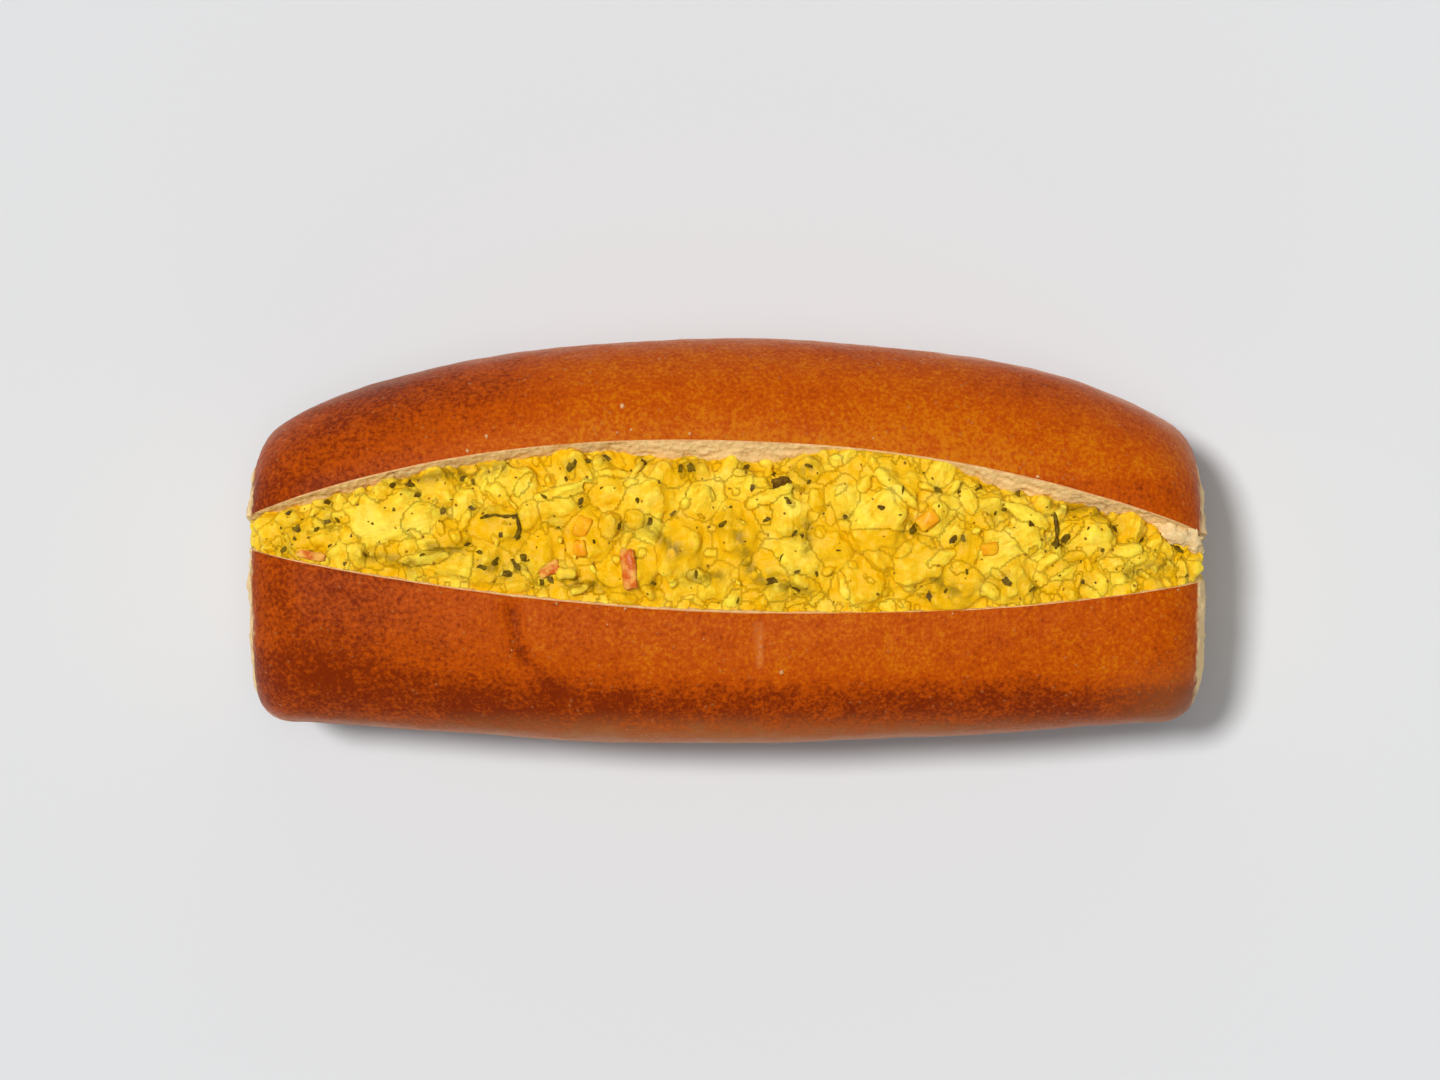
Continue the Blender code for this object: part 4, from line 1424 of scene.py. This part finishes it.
def filling_finish(filling):
    """Yellow sauce over paler meat: darker in its hollows, partly pooled sauce and partly painted shade,
    paler on its ridges as painted highlight, stained by herb and dusted with spice.
    """
    finish = Finish("curried_chicken", SAUCE_SURFACE)
    place = finish.place
    # Painted shade in the hollows, where the sauce also pools.
    hollow = finish.stored("hollow").between(0.10 * MM, 0.80 * MM)
    # Painted highlight: the raised ridges are drawn paler.
    ridge_highlight = finish.stored("hollow").between(-0.02 * MM, -0.34 * MM)
    pale = finish.stored("pale")
    patch = place.noise(6.0 * MM, 3, 0.55)
    fine = place.noise(1.2 * MM, 4, 0.62)
    paleness = pale * 0.60 + (patch - 0.5) * 2.0 + (fine - 0.5) * 1.2 + ridge_highlight * 0.35
    meat = paleness.between(0.02, 1.05).mix(filling.sauce, filling.chicken)
    bare = pale * place.noise(4.5 * MM, 2).between(0.54, 0.68)
    creamy = (bare * 0.42).mix(meat, filling.cream)
    deep = (hollow * 0.25).mix(creamy, filling.hollow)
    smear = finish.stored("stained") + place.noise(8 * MM, 2).between(0.58, 0.72) * 0.35
    stained = (smear * place.noise(1.6 * MM, 3).between(0.31, 0.56) * 0.88).mix(deep, filling.olive)
    ground = place.cells(1.15 * MM).between(0.15, 0.07) * place.noise(3.1 * MM, 2).between(0.48, 0.60)
    finish.wear(
        colour=(ground * 0.5).mix(stained, filling.ground),
        roughness=filling.roughness + (fine - 0.5) * 0.35 + pale * 0.08,
    )
    fibres = finish.stored("grain", "Vector").stretched(FIBRE_STRETCH).noise(0.7 * MM, 3, 0.55)
    finish.relief(fibres * (0.4 + pale * 0.5) + fine * 0.6 + place.noise(0.4 * MM, 2) * 0.2, 0.34 * MM)
    return finish


def make_filling(filling):
    draw = random.Random(SEED)
    pile = Pile()
    add_core(pile)
    lumps = add_chunks(pile, draw)
    lumps += add_placed(pile, draw, LUMPS, CHUNK_SUNK, 0.85, CHUNK_BOXINESS)
    lumps += add_placed(pile, draw, SHREDS, SHRED_SUNK, 1.0, SHRED_BOXINESS)
    lumps += add_bits(pile, draw, filling)
    lumps += add_placed(pile, draw, END_SCRAPS, 0.0, 0.7, SCRAP_BOXINESS)
    made = fused(pile, filling)
    mesh = made.data
    points = read_points(mesh)
    grain, pale = piece_grain(points, lumps)
    pale = spread_out(mesh, pale, PALE_SPREAD)
    write_points(mesh, held_in_cut(roughen(filling, points, read_normals(mesh), grain, pale)))
    store(mesh, "hollow", hollowness(mesh, FILLING_LEVEL))
    store(mesh, "pale", pale)
    store(mesh, "stained", herb_stain(points))
    store(mesh, "grain", grain, "FLOAT_VECTOR")
    mesh.materials.clear()
    mesh.materials.append(filling_finish(filling).material)
    mesh.shade_smooth()
    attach(made, BODY)
    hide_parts("filling")


class SANDWICH_OT_filling(Operator):
    """Heaps the cut with lumps and shreds of chicken in yellow sauce"""

    bl_idname = "sandwich.filling"
    bl_label = "Chicken Filling"

    def execute(self, context):
        make_filling(context.scene.sandwich_filling)
        return {"FINISHED"}


# ---------------------------------------------------------------- toppings


def surface_of(name):
    """The finished surface of a piece, to set others on."""
    graph = bpy.context.evaluated_depsgraph_get()
    return BVHTree.FromObject(bpy.data.objects[name], graph)


def set_down(surface, x, y):
    """The point and normal of a surface straight below a place in plan."""
    place, normal, _, _ = surface.ray_cast(Vector((x, y, 2 * HEIGHT)), Vector((0, 0, -1)))
    if place is None:
        raise RuntimeError(f"nothing lies below {x:.4f}, {y:.4f}")
    return place, normal


def set_on_heap(surface, x, y):
    """The same for the heap, moved off the walls of the cut if need be."""
    level = heap_above(x, y).z
    most = float(cut_wall(x, level, 1)) - WALL_MARGIN
    least = float(cut_wall(x, level, -1)) + WALL_MARGIN
    y = min(max(y, least), most)
    while surface.ray_cast(Vector((x, y, 2 * HEIGHT)), Vector((0, 0, -1)))[0] is None:
        y += (float(cut_middle(x)) - y) * 0.1
    return set_down(surface, x, y)


def lying(place, normal, turn, tilt=0.0):
    """A matrix that lays a flat piece on a slope, turned and tilted."""
    lean = Vector((0, 0, 1)).rotation_difference(normal).to_matrix().to_4x4()
    turned = Matrix.Rotation(turn, 4, "Z") @ Matrix.Rotation(tilt, 4, "X")
    return Matrix.Translation(place) @ lean @ turned


def flake(pile, draw, long, matrix):
    """A scrap of chopped leaf: an uneven outline, domed or curled, and as thin as a leaf."""
    narrow, curl = draw.uniform(*LEAF_NARROW), draw.uniform(*LEAF_CURL) / long
    outline = []
    for i in range(LEAF_SIDES):
        turn = math.tau * (i + draw.uniform(-0.3, 0.3)) / LEAF_SIDES
        out = long / 2 * draw.uniform(*LEAF_RAGGED)
        outline.append(Vector((math.cos(turn) * out, math.sin(turn) * out * narrow, 0)))
    points = []
    for lift in (0, LEAF_THICKNESS):
        for reach in (1.0, 0.5):
            ring = [point * reach for point in outline]
            points += [point + Vector((0, 0, lift - curl * point.length_squared)) for point in ring]
        points.append(Vector((0, 0, lift)))
    rim, inner, middle = 0, LEAF_SIDES, 2 * LEAF_SIDES
    top = middle + 1
    faces = []
    for i in range(LEAF_SIDES):
        j = (i + 1) % LEAF_SIDES
        upper = [(rim + i, rim + j, inner + j, inner + i), (inner + i, inner + j, middle)]
        faces += [tuple(top + corner for corner in face) for face in upper]
        faces += [face[::-1] for face in upper]
        faces.append((rim + i, rim + j, top + rim + j, top + rim + i))
    pile.add([matrix @ point for point in points], faces)


def mottled_finish(name, dark, light, size, roughness, depth):
    """A vegetable, herb or spice: two shades of one colour, with a fine uneven skin."""
    finish = Finish(name, {"Specular IOR Level": 0.08})
    mottle = finish.place.noise(size, 3, 0.6)
    finish.wear(
        colour=mottle.between(0.36, 0.66).mix(dark, light),
        roughness=roughness + (mottle - 0.5) * 0.3,
    )
    finish.relief(finish.place.noise(size * 0.4, 3), depth)
    return finish


def make_herbs(toppings):
    draw = random.Random(SEED + 2)
    surface = surface_of("curried_chicken")
    flakes = Pile()
    rows = list(HERB_SPOTS)
    for i in range(toppings.herbs):
        over = spot(i, toppings.herbs, HERB_MARGIN, 0.2)
        long = toppings.herb_low + (toppings.herb_high - toppings.herb_low) * draw.random() ** 2
        if noise.noise(over / HERB_PATCH) > draw.uniform(-0.45, 0.25):
            rows.append((over.x, over.y, long))
    for x, y, long in rows:
        place, normal = set_on_heap(surface, x, y)
        sunk = place - normal * LEAF_THICKNESS * LEAF_SUNK
        turn, tilt = draw.uniform(0, math.tau), draw.uniform(-LEAF_TILT, LEAF_TILT)
        flake(flakes, draw, long, lying(sunk, normal, turn, tilt))
    finish = mottled_finish("herb", toppings.herb, toppings.herb_green, 1.2 * MM, 0.5, 0.1 * MM)
    flakes.piece("herb_flakes", finish)
    stalks = Pile()
    for path in STALKS:
        add_stalk(stalks, surface, path)
    stalks.piece("herb_stalks", finish)


def stalk_line(surface, path):
    """Points along a stalk, which bridges the hollows of the heap under it."""
    middle = []
    for a, b in zip(path, path[1:]):
        for part in np.arange(STALK_STEPS) / STALK_STEPS:
            middle.append((a[0] + (b[0] - a[0]) * part, a[1] + (b[1] - a[1]) * part))
    middle.append(path[-1])
    line = [set_on_heap(surface, x, y)[0] + Vector((0, 0, STALK_RADIUS * 0.2)) for x, y in middle]
    heights = np.array([point.z for point in line])
    for _ in range(STALK_STEPS * len(path)):
        heights[1:-1] = np.maximum(heights[1:-1], (heights[:-2] + heights[2:]) / 2)
    for point, height in zip(line, heights):
        point.z = height
    return line


def add_stalk(pile, surface, path):
    """A thin, uneven stalk that tapers to both ends."""
    line = stalk_line(surface, path)
    last = len(line) - 1
    points, faces = [], []
    for i, point in enumerate(line):
        ahead = (line[min(i + 1, last)] - line[max(i - 1, 0)]).normalized()
        side = ahead.cross(Vector((0, 0, 1))).normalized()
        up = side.cross(ahead)
        uneven = 0.8 + 0.9 * noise.noise(point / STALK_LUMPS)
        radius = STALK_RADIUS * (0.4 if i in (0, last) else uneven)
        for k in range(STALK_SIDES):
            turn = math.tau * k / STALK_SIDES
            points.append(point + (side * math.cos(turn) + up * math.sin(turn)) * radius)
    for near in range(0, last * STALK_SIDES, STALK_SIDES):
        far = near + STALK_SIDES
        for k in range(STALK_SIDES):
            j = (k + 1) % STALK_SIDES
            faces.append((near + k, far + k, far + j, near + j))
    faces += [tuple(range(STALK_SIDES)), tuple(range(len(points) - 1, len(points) - 1 - STALK_SIDES, -1))]
    pile.add(points, faces)


def make_vegetables(toppings):
    draw = random.Random(SEED + 3)
    surface = surface_of("curried_chicken")
    for name, rows, dark, light in (
        ("red_pepper", PEPPERS, toppings.pepper, toppings.pepper_light),
        ("carrot", CARROTS, toppings.carrot, toppings.carrot_light),
    ):
        dice = Pile()
        for x, y, half_length, half_width, turn in rows:
            place, normal = set_on_heap(surface, x, y)
            size = (half_length, half_width, DICE_HALF_THICKNESS)
            level = (normal + Vector((0, 0, DICE_LEVEL))).normalized()
            tilt = draw.uniform(-DICE_TILT, DICE_TILT)
            turned = lying(Vector(), level, math.radians(turn), tilt)
            place.z -= DICE_SUNK
            die = Lump(place, turned, size, boxiness=DICE_BOXINESS)
            die.add_to(dice, random_shift(draw), BALL_DETAIL)
        dice.piece(name, mottled_finish(name, dark, light, 2.2 * MM, 0.32, 0.08 * MM))
    place, normal = set_on_heap(surface, *DRIED_FRUIT)
    place += normal * DRIED_FRUIT_PROUD * MM
    fruit = Pile()
    wrinkled = Lump(place, Matrix.Rotation(DRIED_FRUIT_TURN, 4, "Z"), DRIED_FRUIT_SIZE, torn=0.3)
    wrinkled.add_to(fruit, random_shift(draw), BALL_DETAIL + 1)
    finish = mottled_finish("dried_fruit", toppings.fruit, toppings.spice, 0.9 * MM, 0.4, 0.15 * MM)
    fruit.piece("dried_fruit", finish)


def make_specks(toppings):
    draw = random.Random(SEED + 4)
    surface = surface_of("curried_chicken")
    specks = Pile()
    for i in range(toppings.specks):
        over = spot(i, toppings.specks, BIT_MARGIN, 0.7)
        place, normal = set_on_heap(surface, over.x, over.y)
        half = draw.uniform(*SPECK_HALF_SIZE) * MM
        size = (half, half * draw.uniform(0.5, 0.9), half * 0.6)
        turned = lying(Vector(), normal, draw.uniform(0, math.tau))
        Lump(place, turned, size).add_to(specks, random_shift(draw), 2)
    finish = mottled_finish("spice", toppings.spice, toppings.hot_spice, 2.5 * MM, 0.6, 0.05 * MM)
    specks.piece("spice_specks", finish)


def make_crumbs(bun, toppings):
    """Loose crumbs on the crust beside the cut, and the bread that tore at its right end."""
    draw = random.Random(SEED + 5)
    surface = surface_of("soft_roll")
    crumbs = Pile()
    for _ in range(toppings.crumbs):
        x = (LENGTH / 2 - CRUMB_MARGIN) * draw.uniform(-1, 1)
        near_crown = draw.random() < 0.5
        out = draw.random() ** CRUMB_GATHERING * CRUMB_REACH + CRUMB_NEAR_LIP
        y = float(lip(CROWN_LIP, x)) + out if near_crown else float(lip(BASE_LIP, x)) - out
        place, normal = set_down(surface, x, y)
        half = draw.uniform(*CRUMB_HALF_SIZE) * MM
        size = (half, half * draw.uniform(0.6, 1), half * draw.uniform(0.5, 0.9))
        crumb = Lump(place + normal * half * 0.4, tumble(draw, 1.0), size, torn=0.3)
        crumb.add_to(crumbs, random_shift(draw), 2)
    finish = mottled_finish("loose_crumb", toppings.loose_crumb, bun.crust_tan, 1.5 * MM, 0.8, 0.1 * MM)
    crumbs.piece("loose_crumbs", finish)
    make_torn_bread(toppings, draw)


def add_tufts(pile, draw, mass):
    """Small tufts of bread that stand out all over a torn mass."""
    for _ in range(TUFTS):
        way = Vector([draw.gauss(0, 1) for _ in range(3)]).normalized()
        half = draw.uniform(*TUFT_HALF_LENGTH)
        root = mass.place + mass.turn @ (way * mass.size * CHUNK_GIRTH)
        size = (half, half * TUFT_SLIM[0], half * TUFT_SLIM[1])
        tuft = Lump(root, tumble(draw, 1.2), size, boxiness=2.2, torn=0.4)
        tuft.add_to(pile, random_shift(draw))


def make_torn_bread(toppings, draw):
    """One soft, ragged piece of bread where the crown's wall tore."""
    pile = Pile()
    for x, y, size, turn in TORN_BREAD:
        place = Vector((x, y, float(top_height(x)) - TORN_BREAD_BELOW_TOP))
        turned = Matrix.Rotation(math.radians(turn), 4, "Z")
        mass = Lump(place, turned, size, boxiness=2.4, torn=0.2)
        mass.add_to(pile, random_shift(draw), BALL_DETAIL)
        add_tufts(pile, draw, mass)
    made = skinned(pile, "torn_bread", TORN_BREAD_GRAIN, TORN_BREAD_SMOOTHING)
    mesh = made.data
    points = read_points(mesh)
    ragged = 0.22 * noise_at(points, 1.6 * MM, 6.3) + 0.22 * noise_at(points, 0.8 * MM, 2.8)
    points += read_normals(mesh) * (ragged * MM)[:, None]
    points[:, 0] = eased(points[:, 0], LENGTH / 2 - END_CLEARANCE, END_EASE)
    write_points(mesh, points)
    dark, light = toppings.torn_bread, toppings.torn_bread_light
    finish = mottled_finish("torn_bread", dark, light, 1.6 * MM, 0.88, 0.3 * MM)
    mesh.materials.append(finish.material)
    mesh.shade_smooth()
    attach(made, BODY)


class SANDWICH_OT_herbs(Operator):
    """Scatters chopped herb and its stalks over the heap"""

    bl_idname = "sandwich.herbs"
    bl_label = "Herbs"

    def execute(self, context):
        make_herbs(context.scene.sandwich_toppings)
        return {"FINISHED"}


class SANDWICH_OT_vegetables(Operator):
    """Sets diced pepper, carrot and dried fruit in the sauce"""

    bl_idname = "sandwich.vegetables"
    bl_label = "Vegetables"

    def execute(self, context):
        make_vegetables(context.scene.sandwich_toppings)
        return {"FINISHED"}


class SANDWICH_OT_specks(Operator):
    """Dusts the heap with ground spice"""

    bl_idname = "sandwich.specks"
    bl_label = "Spice Specks"

    def execute(self, context):
        make_specks(context.scene.sandwich_toppings)
        return {"FINISHED"}


class SANDWICH_OT_crumbs(Operator):
    """Drops loose crumbs on the crust beside the cut, and tears its right end"""

    bl_idname = "sandwich.crumbs"
    bl_label = "Crumbs"

    def execute(self, context):
        make_crumbs(context.scene.sandwich_bun, context.scene.sandwich_toppings)
        return {"FINISHED"}


# ---------------------------------------------------------------- the stage


KEY_FROM = Vector((-0.27, 0.12, 1))  # steeply down, a little from the left and the crown's side
TOP_FROM = Vector((0, 0, 1))
AIM = Vector(in_metres(-1.2, 0.2, 35))
CAMERA_SEES_TO = 50
FLOOR_SIZE = 12
ROOM_TINT = (0.91, 0.96, 1.0)


def soft_room(stage):
    """Soft light all round, brighter towards the horizon than straight overhead."""
    world = bpy.data.worlds.new("studio")
    world.use_nodes = True
    background = world.node_tree.nodes["Background"]
    direction = Wire(world.node_tree.nodes.new("ShaderNodeTexCoord").outputs["Generated"])
    overhead = direction.split()[2].between(0.05, 0.6)
    strength = overhead * (stage.fill * (stage.overhead - 1)) + stage.fill
    world.node_tree.links.new(strength.output, background.inputs["Strength"])
    background.inputs["Color"].default_value = (*ROOM_TINT, 1)
    return world


def add_light(name, direction, strength, size):
    light = bpy.data.objects.new(name, bpy.data.lights.new(name, "SUN"))
    light.data.energy, light.data.angle = strength, size
    light.rotation_mode = "QUATERNION"
    light.rotation_quaternion = direction.to_track_quat("Z", "Y")
    bpy.context.scene.collection.objects.link(light)
    return light


def make_stage(stage):
    scene = bpy.context.scene
    camera = bpy.data.objects.new("camera", bpy.data.cameras.new("camera"))
    camera.data.lens = stage.focal
    away = stage.frame_width / camera.data.sensor_width * stage.focal
    camera.location = AIM + Vector((0, 0, away))
    camera.data.clip_end = CAMERA_SEES_TO
    scene.collection.objects.link(camera)
    scene.camera = camera
    add_light("key", KEY_FROM, stage.key, stage.key_size)
    add_light("top", TOP_FROM, stage.top, stage.top_size).visible_glossy = False
    scene.world = soft_room(stage)
    scene.view_settings.view_transform = "Standard"
    half = FLOOR_SIZE / 2
    corners = [(-half, -half, 0), (half, -half, 0), (half, half, 0), (-half, half, 0)]
    finish = Finish("table", {"Roughness": 0.9, "Specular IOR Level": 0.1})
    finish.shader.inputs["Base Color"].default_value = (*stage.floor, 1)
    floor = mesh_object("table", corners, [(0, 1, 2, 3)], [finish])
    floor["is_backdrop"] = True


class SANDWICH_OT_stage(Operator):
    """Sets the table, the light and the camera"""

    bl_idname = "sandwich.stage"
    bl_label = "Stage"

    def execute(self, context):
        make_stage(context.scene.sandwich_stage)
        return {"FINISHED"}


# ---------------------------------------------------------------- the add-on


class SANDWICH_PT_panel(Panel):
    """Lists the sandwich's pieces and their settings"""

    bl_idname = "SANDWICH_PT_panel"
    bl_label = "Chicken Sandwich"
    bl_space_type = "VIEW_3D"
    bl_region_type = "UI"
    bl_category = "Sandwich"

    def draw(self, context):
        for operators, settings in PANEL_ROWS:
            box = self.layout.box()
            for operator in operators:
                box.operator(operator.bl_idname)
            group = getattr(context.scene, settings)
            for name in group.__annotations__:
                box.prop(group, name)


SETTINGS = {
    "sandwich_bun": SandwichBun,
    "sandwich_filling": SandwichFilling,
    "sandwich_toppings": SandwichToppings,
    "sandwich_stage": SandwichStage,
}
TOPPING_OPERATORS = (SANDWICH_OT_vegetables, SANDWICH_OT_herbs, SANDWICH_OT_specks, SANDWICH_OT_crumbs)
PANEL_ROWS = (
    ((SANDWICH_OT_bun,), "sandwich_bun"),
    ((SANDWICH_OT_filling,), "sandwich_filling"),
    (TOPPING_OPERATORS, "sandwich_toppings"),
    ((SANDWICH_OT_stage,), "sandwich_stage"),
)
OPERATORS = (SANDWICH_OT_bun, SANDWICH_OT_filling, *TOPPING_OPERATORS, SANDWICH_OT_stage)
CLASSES = (*SETTINGS.values(), *OPERATORS, SANDWICH_PT_panel)


def register():
    for made in CLASSES:
        bpy.utils.register_class(made)
    for name, group in SETTINGS.items():
        setattr(bpy.types.Scene, name, PointerProperty(type=group))


def unregister():
    for name in SETTINGS:
        delattr(bpy.types.Scene, name)
    for made in reversed(CLASSES):
        bpy.utils.unregister_class(made)


def main():
    solid_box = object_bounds()
    register()
    bpy.ops.sandwich.bun()
    bpy.ops.sandwich.filling()
    bpy.ops.sandwich.vegetables()
    bpy.ops.sandwich.herbs()
    bpy.ops.sandwich.specks()
    bpy.ops.sandwich.crumbs()
    bpy.ops.sandwich.stage()
    boxes = {"cad": solid_box, "visual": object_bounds()}
    {name: [list(corner) for corner in box] for name, box in boxes.items()}


if __name__ == "__main__":
    main()
